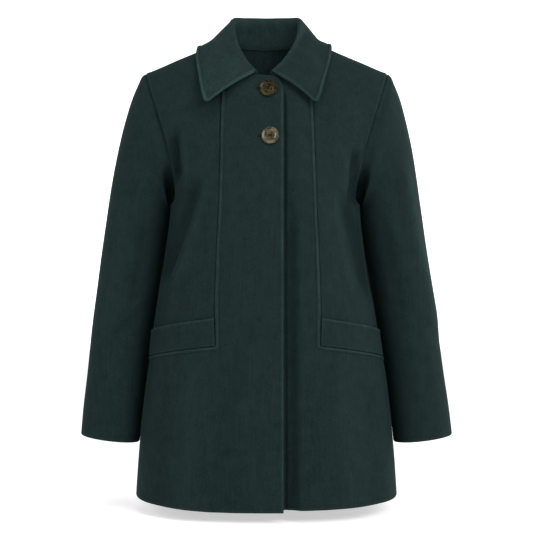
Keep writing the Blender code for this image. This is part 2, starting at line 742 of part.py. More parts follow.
def button_frame(tree, x, z):
    """Place of a button's back: flat on the highest points of the cloth behind it."""
    forward = Vector((0, 1, 0))
    ways = [(0, 0)]
    for step in range(BUTTON_SIDES):
        turn = step * 2 * math.pi / BUTTON_SIDES
        ways.append((math.cos(turn), math.sin(turn)))
    spots = []
    for way_x, way_z in ways:
        start = Vector((x + BUTTON_BACK_RADIUS * way_x, RAY_START_Y, z + BUTTON_BACK_RADIUS * way_z))
        spots.append(tree.ray_cast(start, forward)[0])
    quarter = BUTTON_SIDES // 4
    across = (spots[1] - spots[1 + 2 * quarter]).normalized()
    upward = spots[1 + quarter] - spots[1 + 3 * quarter]
    normal = across.cross(upward).normalized()
    along = normal.cross(across)
    height = max((spot - spots[0]).dot(normal) for spot in spots)
    frame = Matrix((across, along, normal)).transposed().to_4x4()
    frame.translation = (spots[0] + normal * (height + BUTTON_SEAT)) * MM
    return frame


def add_button(tree, name, x, z, material):
    """Turned four-hole button, seated on the right front."""
    bm = bmesh.new()
    profile = [bm.verts.new((radius * MM, 0, height * MM)) for radius, height in BUTTON_PROFILE]
    edges = [bm.edges.new(pair) for pair in zip(profile, profile[1:])]
    bmesh.ops.spin(bm, geom=profile + edges, cent=(0, 0, 0), axis=(0, 0, 1), angle=2 * math.pi,
                   steps=BUTTON_SIDES, use_merge=True, use_duplicate=False)
    bmesh.ops.remove_doubles(bm, verts=bm.verts, dist=0.01 * MM)
    button = add_object(name, bm, material, smooth_angle=BUTTON_SMOOTH_ANGLE)
    frame = button_frame(tree, x, z)
    button.matrix_world = frame
    holes = bmesh.new()
    for corner in range(4):
        turn = math.pi / 4 + corner * math.pi / 2
        place = Matrix.Translation((
            BUTTON_HOLE_OFFSET * MM * math.cos(turn),
            BUTTON_HOLE_OFFSET * MM * math.sin(turn),
            0,
        ))
        bmesh.ops.create_cone(holes, cap_ends=True, segments=HOLE_SIDES,
                              radius1=BUTTON_HOLE_RADIUS * MM, radius2=BUTTON_HOLE_RADIUS * MM,
                              depth=CUTTER_LENGTH * MM, matrix=place)
    cutter = add_object(name + ".holes", holes, material)
    cutter.matrix_world = frame
    cutter.hide_render = True
    cutter.display_type = "WIRE"
    cut = button.modifiers.new("holes", "BOOLEAN")
    cut.operation = "DIFFERENCE"
    cut.solver = "EXACT"
    cut.object = cutter
    return button


def make_material(name, colour, roughness):
    """Principled material with one colour."""
    material = bpy.data.materials.new(name)
    material.use_nodes = True
    shader = material.node_tree.nodes["Principled BSDF"]
    shader.inputs["Base Color"].default_value = (*colour, 1.0)
    shader.inputs["Roughness"].default_value = roughness
    shader.inputs["Metallic"].default_value = 0.0
    return material


def main():
    """Model the overcoat."""
    for thing in list(bpy.data.objects):
        bpy.data.objects.remove(thing, do_unlink=True)
    wool = make_material("wool_bottle_green", (0.0160, 0.0296, 0.0296), 0.95)
    resin = make_material("mottled_resin", (0.0470, 0.0440, 0.0290), 0.25)
    right = Half(RIGHT, CENTRE_RIGHT)
    left = Half(LEFT, CENTRE_LEFT)
    tree = body_tree([right, left])
    add_back(right, left, "back", wool)
    for half, word in ((right, "right"), (left, "left")):
        add_front(half, "front_" + word, wool)
        add_side_front(half, "side_front_" + word, wool)
        add_welt(half, "pocket_welt_" + word, wool)
        add_sleeve(half, "sleeve_" + word, wool)
    add_collar(right, left, tree, "collar", wool)
    for number in range(len(BUTTONS["x"])):
        name = "button_%d" % (number + 1)
        add_button(tree, name, BUTTONS["x"][number], BUTTONS["z"][number], resin)


main()
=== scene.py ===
"""Dress of a short woollen overcoat, filled out as when it is worn, with nobody in it.

Sizes are in millimetres and become metres where a mesh is made. The front faces -Y, and the
wearer's right is -X. A place on the cloth has two coordinates. u runs round the body: -1 to 1
across the centre front, 1 on the panel seam, 2 on the side seam and 3 on the centre back. v runs
down: 0 at the neckline and shoulder seam, 1 at the underarm and 2 at the hem.
"""

import logging
import math
from collections.abc import Sequence
from dataclasses import dataclass
from dataclasses import field
from enum import IntEnum
from typing import Any

import bpy
import numpy as np
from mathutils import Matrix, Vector
from mathutils.bvhtree import BVHTree


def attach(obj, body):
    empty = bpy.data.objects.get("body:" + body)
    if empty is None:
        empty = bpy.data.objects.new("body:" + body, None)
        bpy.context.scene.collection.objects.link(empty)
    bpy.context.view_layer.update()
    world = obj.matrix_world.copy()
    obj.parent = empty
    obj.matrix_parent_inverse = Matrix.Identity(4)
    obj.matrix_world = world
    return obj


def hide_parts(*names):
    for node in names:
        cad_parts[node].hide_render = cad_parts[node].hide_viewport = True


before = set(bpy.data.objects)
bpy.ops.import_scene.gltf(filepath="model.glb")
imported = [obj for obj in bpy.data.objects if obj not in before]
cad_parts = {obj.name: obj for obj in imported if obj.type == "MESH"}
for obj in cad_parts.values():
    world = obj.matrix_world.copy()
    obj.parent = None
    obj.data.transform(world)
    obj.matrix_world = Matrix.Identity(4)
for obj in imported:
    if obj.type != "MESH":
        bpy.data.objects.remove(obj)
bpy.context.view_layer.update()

LOG = logging.getLogger("overcoat")
MM = 0.001
BODY = "root"
# Attribute of the cloth's points that carries painted light: 1 for a painted highlight, -1 for the painted
# shade of a fold or a seam
PAINTED_LIGHT_ATTRIBUTE = "nap"
UP = np.array([0.0, 0.0, 1.0])
# Half of the gap that a seam leaves between two pieces
SEAM_HALF = 0.15
# Distance of the topstitches from the edges and seams that they run along
STITCH_REACH = 6.8
# Width of the painted highlight between an edge and its topstitches
STITCHED_BAND = 5.2
# Width of the painted shade in a seam
SEAM_BAND = 0.6
# Strength of the painted highlight on a plain edge
HEM_HIGHLIGHT = 0.5
# How far from an edge the cloth is rounded off
ROUND_REACH = 1.8
# Lattice lines stand no closer together than this
LEAST_STEP = 0.08
# Where the fly's stitches and the panel seams' stitches start
FLY_START_Z = -254.0
STITCH_TOP_Z = -70.0
Array = np.ndarray


class Side(IntEnum):
    """Wearer's side, as the sign of X."""

    RIGHT = -1
    LEFT = 1

    @property
    def word(self) -> str:
        """Name of the side as the pieces use it."""
        return self.name.lower()


def linear(code: str) -> tuple[float, float, float, float]:
    """Turn an sRGB hex colour into linear RGBA.

    Args:
        code: Colour as six hex digits after a hash sign.

    Returns:
        Linear red, green, blue and an alpha of one.
    """
    parts = [int(code[place:place + 2], 16) / 255 for place in (1, 3, 5)]
    curve = [part / 12.92 if part <= 0.04045 else ((part + 0.055) / 1.055) ** 2.4 for part in parts]
    return (curve[0], curve[1], curve[2], 1.0)


def add_node(
    tree: bpy.types.NodeTree,
    kind: str,
    settings: dict[Any, Any] | None = None,
    links: dict[Any, Any] | None = None,
) -> bpy.types.Node:
    """Add a shader node.

    Args:
        tree: Node tree that takes the node.
        kind: Node type.
        settings: Values for its sockets, by name or number, or for its properties.
        links: Output sockets that feed its inputs, by input name or number.

    Returns:
        The new node.
    """
    node = tree.nodes.new(kind)
    for name, value in (settings or {}).items():
        if isinstance(name, int) or name in node.inputs:
            node.inputs[name].default_value = value
        else:
            setattr(node, name, value)
    for name, source in (links or {}).items():
        tree.links.new(source, node.inputs[name])
    return node


def new_material(name: str) -> tuple[bpy.types.Material, bpy.types.NodeTree, bpy.types.Node]:
    """Make a material with nodes.

    Args:
        name: Name of the material.

    Returns:
        The material, its tree and its Principled node.
    """
    material = bpy.data.materials.new(name)
    material.use_nodes = True
    tree = material.node_tree
    return material, tree, tree.nodes["Principled BSDF"]


def set_inputs(node: bpy.types.Node, values: dict[str, Any]) -> None:
    """Set constant values on a node's sockets."""
    for name, value in values.items():
        node.inputs[name].default_value = value


def add_noise(
    tree: bpy.types.NodeTree, place: bpy.types.NodeSocket, size_mm: float, settings: dict[str, float],
) -> bpy.types.NodeSocket:
    """Add noise.

    Args:
        tree: Node tree that takes the node.
        place: Socket that gives the place on the object, in metres.
        size_mm: Size of the noise's features in millimetres.
        settings: Values for its other sockets.

    Returns:
        The noise's output.
    """
    scale = 1 / (size_mm * MM)
    noise = add_node(tree, "ShaderNodeTexNoise", {"Scale": scale, **settings}, {"Vector": place})
    return noise.outputs["Fac"]


def add_weighed(
    tree: bpy.types.NodeTree,
    source: bpy.types.NodeSocket,
    weight: float,
    base: bpy.types.NodeSocket | None = None,
) -> bpy.types.NodeSocket:
    """Weigh one output, and add it to another.

    Args:
        tree: Node tree that takes the node.
        source: Output to weigh.
        weight: Its weight.
        base: Output that it is added to, if any.

    Returns:
        The weighed sum.
    """
    operation = "MULTIPLY" if base is None else "MULTIPLY_ADD"
    links = {0: source} if base is None else {0: source, 2: base}
    return add_node(tree, "ShaderNodeMath", {"operation": operation, 1: weight}, links).outputs[0]


def add_ramp(
    tree: bpy.types.NodeTree, source: bpy.types.NodeSocket, stops: Sequence[tuple[float, str]],
) -> bpy.types.NodeSocket:
    """Add a colour ramp.

    Args:
        tree: Node tree that takes the node.
        source: Output that the ramp reads.
        stops: Rising places, each with its colour.

    Returns:
        The ramp's colour.
    """
    shade = add_node(tree, "ShaderNodeValToRGB", links={"Fac": source})
    elements = shade.color_ramp.elements
    for element, (place, colour) in zip(elements, (stops[0], stops[-1])):
        element.position = place
        element.color = linear(colour)
    for place, colour in stops[1:-1]:
        elements.new(place).color = linear(colour)
    return shade.outputs["Color"]


@dataclass(frozen=True)
class Table:
    """Rows of values with named columns."""

    columns: str
    rows: tuple[tuple[float, ...], ...]

    def column(self, name: str) -> Array:
        """All values of one column."""
        return np.array([row[self.columns.split().index(name)] for row in self.rows], dtype=float)

    def records(self) -> list[dict[str, float]]:
        """Rows as dictionaries."""
        return [dict(zip(self.columns.split(), row)) for row in self.rows]

    def read(self, name: str, key: str, where: Array) -> Array:
        """Read one column as a smooth curve over another.

        Args:
            name: Column to read.
            key: Column that holds the places, rising or falling.
            where: Places to read at.

        Returns:
            The values at those places.
        """
        places = self.column(key)
        values = self.column(name)
        if places[0] > places[-1]:
            places, values = places[::-1], values[::-1]
        return smooth(where, places, values)


def smooth(where: Array, places: Array, values: Array) -> Array:
    """Read a smooth curve.

    Args:
        where: Places to read at.
        places: Rising places of the values.
        values: Numbers, or points with a place for each row.

    Returns:
        The values at those places.
    """
    slopes = np.gradient(values, places, axis=0)
    where = np.clip(np.asarray(where, dtype=float), places[0], places[-1])
    low = np.clip(np.searchsorted(places, where, side="right") - 1, 0, len(places) - 2)
    step = places[low + 1] - places[low]
    t = (where - places[low]) / step
    if values.ndim > 1:
        shape = t.shape + (1,) * (values.ndim - 1)
        t, step = t.reshape(shape), step.reshape(shape)
    start = (1 + 2 * t) * (1 - t) ** 2 * values[low] + t * (1 - t) ** 2 * step * slopes[low]
    end = t ** 2 * (3 - 2 * t) * values[low + 1] + t ** 2 * (t - 1) * step * slopes[low + 1]
    return start + end


@dataclass(frozen=True)
class WoolCoating:
    """Brushed and pressed woollen coating: a matt felted ground under a short nap."""

    name: str = "wool_coating_brushed_and_pressed"
    # The darkest and the lightest stops are reached mostly through painted shade and painted highlights;
    # the two between give the wool's own mottle
    painted_shade_colour: str = "#0b1313"
    dark: str = "#131e1e"
    light: str = "#1d2b2a"
    painted_highlight_colour: str = "#2b403e"
    sheen_tint: str = "#5c8a82"
    sheen: float = 0.14
    sheen_roughness: float = 0.28
    roughness: float = 0.95
    specular: float = 0.03
    cloud_mm: float = 17.0
    # The real nap is about 0.3 mm; it is drawn coarser so that it shows at this distance.
    nap_mm: float = 2.2
    streak_mm: float = 3.2
    streak_run: float = 0.06
    streak_share: float = 0.2
    cloud_share: float = 0.22
    nap_share: float = 0.58
    # Weight of the painted light and shade in the colour
    painted_light_weight: float = 0.17
    bump_mm: float = 0.45
    bump: float = 0.5

    def make(self) -> bpy.types.Material:
        """Make the material.

        Returns:
            Clouded green wool that gives the eye a dull, soft surface with lighter, furry rims, and painted
            shade and painted highlights from the points' attribute.
        """
        material, tree, shader = new_material(self.name)
        place = add_node(tree, "ShaderNodeTexCoord").outputs["Object"]
        run = add_node(tree, "ShaderNodeMapping", {"Scale": (1, 1, self.streak_run)}, {"Vector": place})
        cloud = add_noise(tree, place, self.cloud_mm, {"Detail": 3.0})
        nap = add_noise(tree, place, self.nap_mm, {"Detail": 4.0, "Roughness": 0.65})
        streak = add_noise(tree, run.outputs["Vector"], self.streak_mm, {"Detail": 2.0})
        streaked = add_weighed(tree, streak, self.streak_share)
        clouded = add_weighed(tree, cloud, self.cloud_share, streaked)
        mottled = add_weighed(tree, nap, self.nap_share, clouded)
        # Painted light from the points' attribute: painted shade in creases and seams, painted highlights
        # on ridges and edges
        painted_light = add_node(tree, "ShaderNodeAttribute", {"attribute_name": PAINTED_LIGHT_ATTRIBUTE}).outputs["Fac"]
        mottle_and_painted_light = add_weighed(tree, painted_light, self.painted_light_weight, mottled)
        stops = ((0.1, self.painted_shade_colour), (0.36, self.dark), (0.64, self.light), (0.95, self.painted_highlight_colour))
        tree.links.new(add_ramp(tree, mottle_and_painted_light, stops), shader.inputs["Base Color"])
        relief = {"Strength": self.bump, "Distance": self.bump_mm * MM}
        bump = add_node(tree, "ShaderNodeBump", relief, {"Height": mottled})
        tree.links.new(bump.outputs["Normal"], shader.inputs["Normal"])
        set_inputs(shader, {
            "Roughness": self.roughness,
            "Specular IOR Level": self.specular,
            "Sheen Weight": self.sheen,
            "Sheen Roughness": self.sheen_roughness,
            "Sheen Tint": linear(self.sheen_tint),
        })
        return material


@dataclass(frozen=True)
class HornResin:
    """Cast and polished resin, mottled like horn."""

    name: str = "horn_resin_cast_and_polished"
    dark: str = "#1d1a10"
    middle: str = "#3d3724"
    light: str = "#5c533b"
    roughness: float = 0.2
    specular: float = 0.28
    mottle_mm: float = 9.0

    def make(self) -> bpy.types.Material:
        """Make the material.

        Returns:
            Brown mottled resin that gives the eye soft glints on the rim and in the well.
        """
        material, tree, shader = new_material(self.name)
        place = add_node(tree, "ShaderNodeTexCoord").outputs["Object"]
        mottle = add_noise(tree, place, self.mottle_mm, {"Detail": 3.0, "Distortion": 1.4})
        stops = ((0.36, self.dark), (0.5, self.middle), (0.68, self.light))
        tree.links.new(add_ramp(tree, mottle, stops), shader.inputs["Base Color"])
        set_inputs(shader, {"Roughness": self.roughness, "Specular IOR Level": self.specular})
        return material


@dataclass(frozen=True)
class SewingThread:
    """Twisted sewing thread."""

    name: str = "sewing_thread_twisted"
    colour: str = "#1a2625"
    roughness: float = 0.7
    specular: float = 0.1

    def make(self) -> bpy.types.Material:
        """Make the material.

        Returns:
            Plain thread that gives the eye a slightly smoother line than the wool.
        """
        material, _, shader = new_material(self.name)
        set_inputs(shader, {
            "Base Color": linear(self.colour),
            "Roughness": self.roughness,
            "Specular IOR Level": self.specular,
        })
        return material


@dataclass(frozen=True)
class StudioFloor:
    """Opal acrylic floor lit from below, or white backdrop paper."""

    name: str = "floor_opal_acrylic_lit_from_below"
    colour: str = "#c8c8c8"
    glow: float = 0.54
    roughness: float = 0.9

    def make(self) -> bpy.types.Material:
        """Make the material.

        Returns:
            Even white that gives the eye a bright ground with a pale, soft shadow.
        """
        material, _, shader = new_material(self.name)
        set_inputs(shader, {
            "Base Color": linear(self.colour),
            "Roughness": self.roughness,
            "Specular IOR Level": 0.0,
            "Emission Color": linear("#ffffff"),
            "Emission Strength": self.glow,
        })
        return material


@dataclass(frozen=True)
class Studio:
    """Camera, soft light and floor, as in the photograph."""

    distance: float = 2300.0
    eye_z: float = -362.0
    picture_width: float = 863.46
    sensor: float = 36.0
    floor_z: float = -752.0
    floor_size: float = 9000.0
    sky: float = 0.36
    backdrop_y: float = 4400.0
    backdrop_glow: float = 1.0
    # A key and a fill before the coat, one light over it, and two behind it that light the sleeves' rims
    lights: Table = Table(
        "x y z aim_z size watts",
        (
            (1300, -2100, 1000, -380, 1300, 49),
            (-1500, -2000, 500, -380, 1500, 14),
            (0, -900, 2000, -300, 1600, 24),
            (2100, 700, 100, -380, 1600, 45),
            (-2100, 700, 100, -380, 1600, 22),
        ),
    )

    def build(self) -> None:
        """Set up the camera, the light, the floor and the backdrop."""
        self.place_camera()
        self.light()
        half = self.floor_size / 2
        far = self.backdrop_y
        low = self.floor_z
        paper = StudioFloor("backdrop_paper_lit_from_the_front", glow=self.backdrop_glow)
        self.add_sheet("floor", StudioFloor(), [
            (-half, -half, low), (half, -half, low), (half, far, low), (-half, far, low)])
        self.add_sheet("backdrop", paper, [
            (-half, far, low), (half, far, low), (half, far, half), (-half, far, half)])

    def place_camera(self) -> None:
        """Put the camera straight before the coat, as in the photograph."""
        lens = bpy.data.cameras.new("camera")
        lens.sensor_width = self.sensor
        lens.lens = self.sensor * self.distance / self.picture_width
        camera = bpy.data.objects.new("camera", lens)
        camera.location = (0, -self.distance * MM, self.eye_z * MM)
        camera.rotation_euler = (math.pi / 2, 0, 0)
        bpy.context.scene.collection.objects.link(camera)
        bpy.context.scene.camera = camera

    def light(self) -> None:
        """Set up the sky and the softboxes."""
        scene = bpy.context.scene
        scene.view_settings.view_transform = "Standard"
        world = bpy.data.worlds.new("sky")
        world.use_nodes = True
        sky = {"Color": linear("#ffffff"), "Strength": self.sky}
        set_inputs(world.node_tree.nodes["Background"], sky)
        scene.world = world
        for number, row in enumerate(self.lights.records(), 1):
            name = "softbox_%d" % number
            panel = bpy.data.lights.new(name, "AREA")
            panel.size = row["size"] * MM
            panel.energy = row["watts"]
            softbox = bpy.data.objects.new(name, panel)
            place = Vector((row["x"], row["y"], row["z"])) * MM
            softbox.location = place
            aim = Vector((0, 0, row["aim_z"])) * MM - place
            softbox.rotation_euler = aim.to_track_quat("-Z", "Y").to_euler()
            scene.collection.objects.link(softbox)

    def add_sheet(
        self, name: str, finish: StudioFloor, corners: list[tuple[float, float, float]],
    ) -> None:
        """Put up the floor or the backdrop.

        Args:
            name: Name of the sheet.
            finish: Its finish.
            corners: Its four corners.
        """
        mesh = bpy.data.meshes.new(name)
        mesh.from_pydata([Vector(corner) * MM for corner in corners], [], [(0, 1, 2, 3)])
        mesh.materials.append(finish.make())
        sheet = bpy.data.objects.new(name, mesh)
        bpy.context.scene.collection.objects.link(sheet)


def ease(value: Array) -> Array:
    """Rise smoothly from 0 to 1."""
    value = np.clip(value, 0.0, 1.0)
    return value * value * (3 - 2 * value)


def points(x: Any, y: Any, z: Any) -> Array:
    """Stack three coordinates into points."""
    return np.stack(np.broadcast_arrays(x, y, z), axis=-1).astype(float)


def unit(vectors: Array) -> Array:
    """Scale vectors to length one."""
    return vectors / np.maximum(np.linalg.norm(vectors, axis=-1, keepdims=True), 1e-9)


def bell(distance: Array, middle: float, width: Any) -> Array:
    """Soft ridge: 1 in its middle, and fading on both sides."""
    return np.exp(-((distance - middle) / width) ** 2)


def lengths(places: Array) -> Array:
    """Length gone from row to row, on a line of points or on each column of a lattice."""
    steps = np.linalg.norm(np.diff(places, axis=0), axis=-1)
    return np.concatenate([np.zeros_like(steps[:1]), np.cumsum(steps, axis=0)])


def nearest(values: Array, wanted: float) -> int:
    """Number of the value that is nearest to the wanted one."""
    return int(np.argmin(np.abs(values - wanted)))


def lattice_normals(grid: Array) -> Array:
    """Normals of a lattice, from its rows across its columns."""
    return unit(np.cross(np.gradient(grid, axis=0), np.gradient(grid, axis=1)))


def spread(start: float, end: float, step: float, lines: Sequence[float] = ()) -> Array:
    """Places from start to end, closer together on both sides of some lines.

    Args:
        start: First place.
        end: Last place.
        step: Usual distance between places.
        lines: Places of edges, seams and stitch lines.

    Returns:
        Rising places. A line itself is left out, so that a seam there is open.
    """
    near = np.array([SEAM_HALF, 0.5, 0.9, 1.4, 2.1, 3.0, 4.2, 5.4, 6.2, STITCH_REACH, 7.4, 8.2, 9.6, 12.0])
    places = np.linspace(start, end, round((end - start) / step) + 1)
    for line in lines:
        places = places[np.abs(places - line) > near[-1]]
    extra = [line + sign * near for line in lines for sign in (-1, 1)]
    places = np.concatenate([places, *extra, [start, end]])
    places = np.unique(np.round(places[(places >= start) & (places <= end)], 3))
    wide = np.concatenate([[True], np.diff(places) > LEAST_STEP])
    wide[-1] = True
    return places[wide]


# Distances from the middle where the cloth starts to be drawn in, and where that starts to fade
DRAWN_FROM = 60.0
DRAWN_TO = 180.0
# How far the cloth is drawn in towards the middle, on each side
DRAWN_IN = Table(
    "z right left",
    (
        (-530, 0, 0),
        (-475, 0, 3.0),
        (-425, 0.5, 4.5),
        (-380, 1.5, 6.5),
        (-335, 3.0, 8.0),
        (-275, 4.5, 9.0),
        (-250, 3.5, 7.0),
        (-225, 1.2, 3.0),
        (-195, 0, 0),
    ),
)

# Creases in the cloth as seen from the front or the back: plus presses in, minus lifts out
CREASES = Table(
    "side sleeve back x1 z1 x2 z2 width fade depth",
    (
        (Side.RIGHT, 0, 0, -145, -160, -141, -224, 11, 26, 11.0),
        (Side.RIGHT, 0, 0, -130, -162, -126, -236, 9, 30, -2.4),
        (Side.RIGHT, 0, 0, -112, -236, -160, -376, 14, 40, 8.0),
        (Side.RIGHT, 0, 0, -95, -240, -148, -388, 10, 40, -2.4),
        (Side.RIGHT, 0, 0, -60, -520, -74, -760, 26, 90, 1.6),
        (Side.RIGHT, 0, 0, -112, -530, -128, -760, 24, 90, -1.8),
        (Side.RIGHT, 0, 0, -150, -520, -172, -760, 20, 90, 2.0),
        (Side.LEFT, 0, 0, 137, -188, 144, -258, 10, 26, 10.0),
        (Side.LEFT, 0, 0, 123, -190, 130, -268, 9, 30, -2.2),
        (Side.LEFT, 0, 0, 130, -250, 161, -398, 16, 40, 6.0),
        (Side.LEFT, 0, 0, 110, -250, 141, -398, 12, 40, -2.0),
        (Side.LEFT, 0, 0, 28.5, -90, 30, -790, 4, 30, 4.0),
        (Side.LEFT, 0, 0, 38, -270, 41, -790, 13, 160, 7.0),
        (Side.LEFT, 0, 0, 70, -540, 78, -760, 24, 90, 1.4),
        (Side.LEFT, 0, 0, 118, -530, 136, -760, 24, 90, -1.6),
        (Side.LEFT, 0, 0, 155, -520, 176, -760, 20, 90, 1.8),
        (Side.RIGHT, 1, 0, -230, -260, -258, -470, 16, 60, -1.5),
        (Side.RIGHT, 1, 0, -196, -300, -214, -420, 12, 40, 1.8),
        (Side.RIGHT, 1, 0, -206, -440, -252, -476, 11, 20, 1.2),
        (Side.LEFT, 1, 0, 222, -205, 239, -304, 10, 40, -4.0),
        (Side.LEFT, 1, 0, 208, -210, 225, -304, 12, 40, 2.2),
        (Side.LEFT, 1, 0, 236, -300, 272, -458, 11, 60, -4.0),
        (Side.LEFT, 1, 0, 194, -296, 212, -412, 12, 40, 1.8),
        (Side.LEFT, 1, 0, 208, -420, 256, -452, 11, 20, 1.3),
        (Side.LEFT, 1, 0, 214, -500, 262, -520, 12, 20, 1.0),
        (Side.RIGHT, 0, 1, -120, -190, -112, -330, 16, 50, 3.0),
        (Side.RIGHT, 0, 1, -64, -420, -84, -760, 30, 120, 3.0),
        (Side.RIGHT, 0, 1, -128, -460, -152, -760, 26, 120, -2.4),
        (Side.LEFT, 0, 1, 116, -196, 106, -340, 16, 50, 3.0),
        (Side.LEFT, 0, 1, 40, -450, 52, -760, 30, 120, 2.6),
        (Side.LEFT, 0, 1, 112, -440, 140, -760, 28, 120, -2.6),
        (Side.RIGHT, 1, 1, -226, -250, -252, -460, 16, 50, -2.0),
        (Side.RIGHT, 1, 1, -200, -330, -246, -372, 12, 20, 1.8),
        (Side.LEFT, 1, 1, 230, -250, 258, -480, 16, 50, -2.0),
        (Side.LEFT, 1, 1, 204, -350, 250, -390, 12, 20, 1.8),
    ),
)


def crease_depth(side: Side, sleeve: bool, back: bool, grid: Array) -> Array:
    """How far the creases press each point of a piece in.

    Args:
        side: Wearer's side.
        sleeve: Whether the piece is a sleeve.
        back: Whether the creases are those seen from behind.
        grid: Points of the piece.

    Returns:
        Depth at each point.
    """
    depth = np.zeros(grid.shape[:-1])
    for crease in CREASES.records():
        if (crease["side"], crease["sleeve"], crease["back"]) != (side, sleeve, back):
            continue
        across = grid[..., 0] - crease["x1"]
        down = grid[..., 2] - crease["z1"]
        run_x = crease["x2"] - crease["x1"]
        run_z = crease["z2"] - crease["z1"]
        length = math.hypot(run_x, run_z)
        along = (across * run_x + down * run_z) / length
        aside = (across * run_z - down * run_x) / length
        fade = ease(along / crease["fade"] + 0.5) * ease((length - along) / crease["fade"] + 0.5)
        depth += crease["depth"] * fade * bell(aside, 0, crease["width"] / math.sqrt(2))
    return depth


def slackness(grid: Array, height: float = 0.45) -> Array:
    """Slow, uneven rise and fall of soft cloth.

    Args:
        grid: Points of the piece.
        height: How far it rises and falls.

    Returns:
        Rise at each point.
    """
    x, y, z = (grid[..., axis] for axis in range(3))
    # No wave's length is a multiple of another's, so nothing is seen to repeat.
    broad = np.sin(x / 23 + 1.3 * np.sin(z / 61)) * np.sin(z / 47 + y / 39 + 0.8)
    narrow = np.sin(x / 11 + z / 83 + 2.1) * np.sin(z / 29 - x / 67 + 0.4)
    return height * (broad + 0.5 * narrow)


def stitched_ridge(distance: Array, height: float = 1.5, sunk: float = 0.6) -> Array:
    """Topstitched edge: rounded off, raised by the turnings in it, and pulled down by the stitches.

    Args:
        distance: Distance from the edge.
        height: Rise between the edge and the stitches.
        sunk: How deep the stitches pull the cloth down.

    Returns:
        Rise at each point.
    """
    rounded = ease(distance / ROUND_REACH)
    turnings = 1 - ease((distance - STITCH_REACH + 1.2) / 1.6)
    pulled = sunk * bell(distance, STITCH_REACH, 0.9)
    return height * rounded * turnings + rounded_edge(distance) - pulled


def rounded_edge(distance: Array, drop: float = 0.8) -> Array:
    """Edge that is folded or sewn under, so that it is rounded off."""
    return -drop * (1 - ease(distance / ROUND_REACH))


def drawn_in(places: Array) -> Array:
    """Move cloth towards the middle, where the coat is drawn in under the arms.

    Args:
        places: Points of the cloth.

    Returns:
        The moved points.
    """
    reach = np.abs(places[..., 0])
    share = ease((reach - DRAWN_FROM) / 80) * (1 - ease((reach - DRAWN_TO) / 70))
    left, right = (DRAWN_IN.read(name, "z", places[..., 2]) for name in ("left", "right"))
    pull = np.where(places[..., 0] > 0, left, right)
    moved = places.copy()
    moved[..., 0] -= np.sign(places[..., 0]) * share * pull
    return moved


def painted_edge_band(distance: Array, width: float = 3.0) -> Array:
    """Band along an edge, 1 at it and fading away: for painted highlights on edges and painted shade in
    seams.
    """
    return 1 - ease((distance - width + 1) / 3)


def crease_painted_light(press: Array, trough: float = 7.0, ridge: float = 5.0) -> Array:
    """Painted light in the creases: painted shade in a trough and a painted highlight on a ridge, by their
    depths for a full change.
    """
    return np.clip(np.where(press > 0, -press / trough, -press / ridge), -0.8, 0.9)


def add_mesh(
    name: str,
    places: Array,
    faces: list[tuple[int, ...]],
    material: bpy.types.Material,
    sharp: float = 55.0,
) -> bpy.types.Object:
    """Make a piece of cloth or thread from corners and faces.

    Args:
        name: Name of the piece.
        places: Corners in millimetres.
        faces: Corner numbers of each face.
        material: Finish of the piece.
        sharp: Angle in degrees from which an edge is shaded sharp.

    Returns:
        The piece, riding on the coat's body.
    """
    mesh = bpy.data.meshes.new(name)
    mesh.from_pydata((np.asarray(places) * MM).tolist(), [], faces)
    mesh.shade_smooth()
    mesh.set_sharp_from_angle(angle=math.radians(sharp))
    mesh.materials.append(material)
    piece = bpy.data.objects.new(name, mesh)
    bpy.context.scene.collection.objects.link(piece)
    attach(piece, BODY)
    LOG.info("%s: %d faces", name, len(faces))
    return piece


@dataclass(frozen=True)
class Cut:
    """Flat cloth that a piece is cut from, and how the piece is held."""

    width: float
    length: float
    area_m2: float
    held: str = "hung"


def add_shell(
    node: str,
    outer: Array,
    inner: Array,
    material: bpy.types.Material,
    nap: Array,
    cells: Array | None = None,
    tube: bool = False,
    inside_light: float = 0.0,
) -> None:
    """Make a closed thin shell of cloth between two lattices, in place of a solid.

    Args:
        node: Solid that the shell replaces.
        outer: Lattice of the right side of the cloth.
        inner: Lattice of the wrong side.
        material: Finish of the piece.
        nap: Painted light and shade on the right side.
        cells: Which lattice cells belong to the piece; all of them if left out.
        tube: Whether the last column joins the first.
        inside_light: Painted light on the wrong side.
    """
    rows, columns = outer.shape[:2]
    wide = columns if tube else columns - 1
    if cells is None:
        cells = np.ones((rows - 1, wide), dtype=bool)
    number = np.arange(rows * columns).reshape(rows, columns)
    after = np.roll(number, -1, axis=1)[:, :wide]
    number = number[:, :wide]
    quads = np.stack([number[:-1], after[:-1], after[1:], number[1:]], axis=-1)[cells]
    layer = rows * columns
    edges: dict[tuple[int, int], tuple[int, int]] = {}
    for start, end in zip(quads.ravel(), np.roll(quads, -1, axis=1).ravel()):
        if edges.pop((end, start), None) is None:
            edges[(start, end)] = (start, end)
    faces = [tuple(quad) for quad in quads.tolist()]
    faces += [tuple(layer + corner for corner in reversed(quad)) for quad in quads.tolist()]
    faces += [(int(end), int(start), int(start) + layer, int(end) + layer) for start, end in edges]
    places = drawn_in(np.concatenate([outer.reshape(-1, 3), inner.reshape(-1, 3)]))
    used = np.unique(np.concatenate([quads.ravel(), quads.ravel() + layer]))
    renumber = np.full(2 * layer, -1)
    renumber[used] = np.arange(len(used))
    faces = [tuple(int(renumber[corner]) for corner in face) for face in faces]
    piece = add_mesh(node + "_cloth", places[used], faces, material)
    # Painted light of the points: the right side's values, then the wrong side's
    painted_light = np.concatenate([np.broadcast_to(nap, (rows, columns)).ravel(), np.full(layer, inside_light)])
    piece.data.attributes.new(PAINTED_LIGHT_ATTRIBUTE, "FLOAT", "POINT").data.foreach_set("value", painted_light[used])
    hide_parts(node)


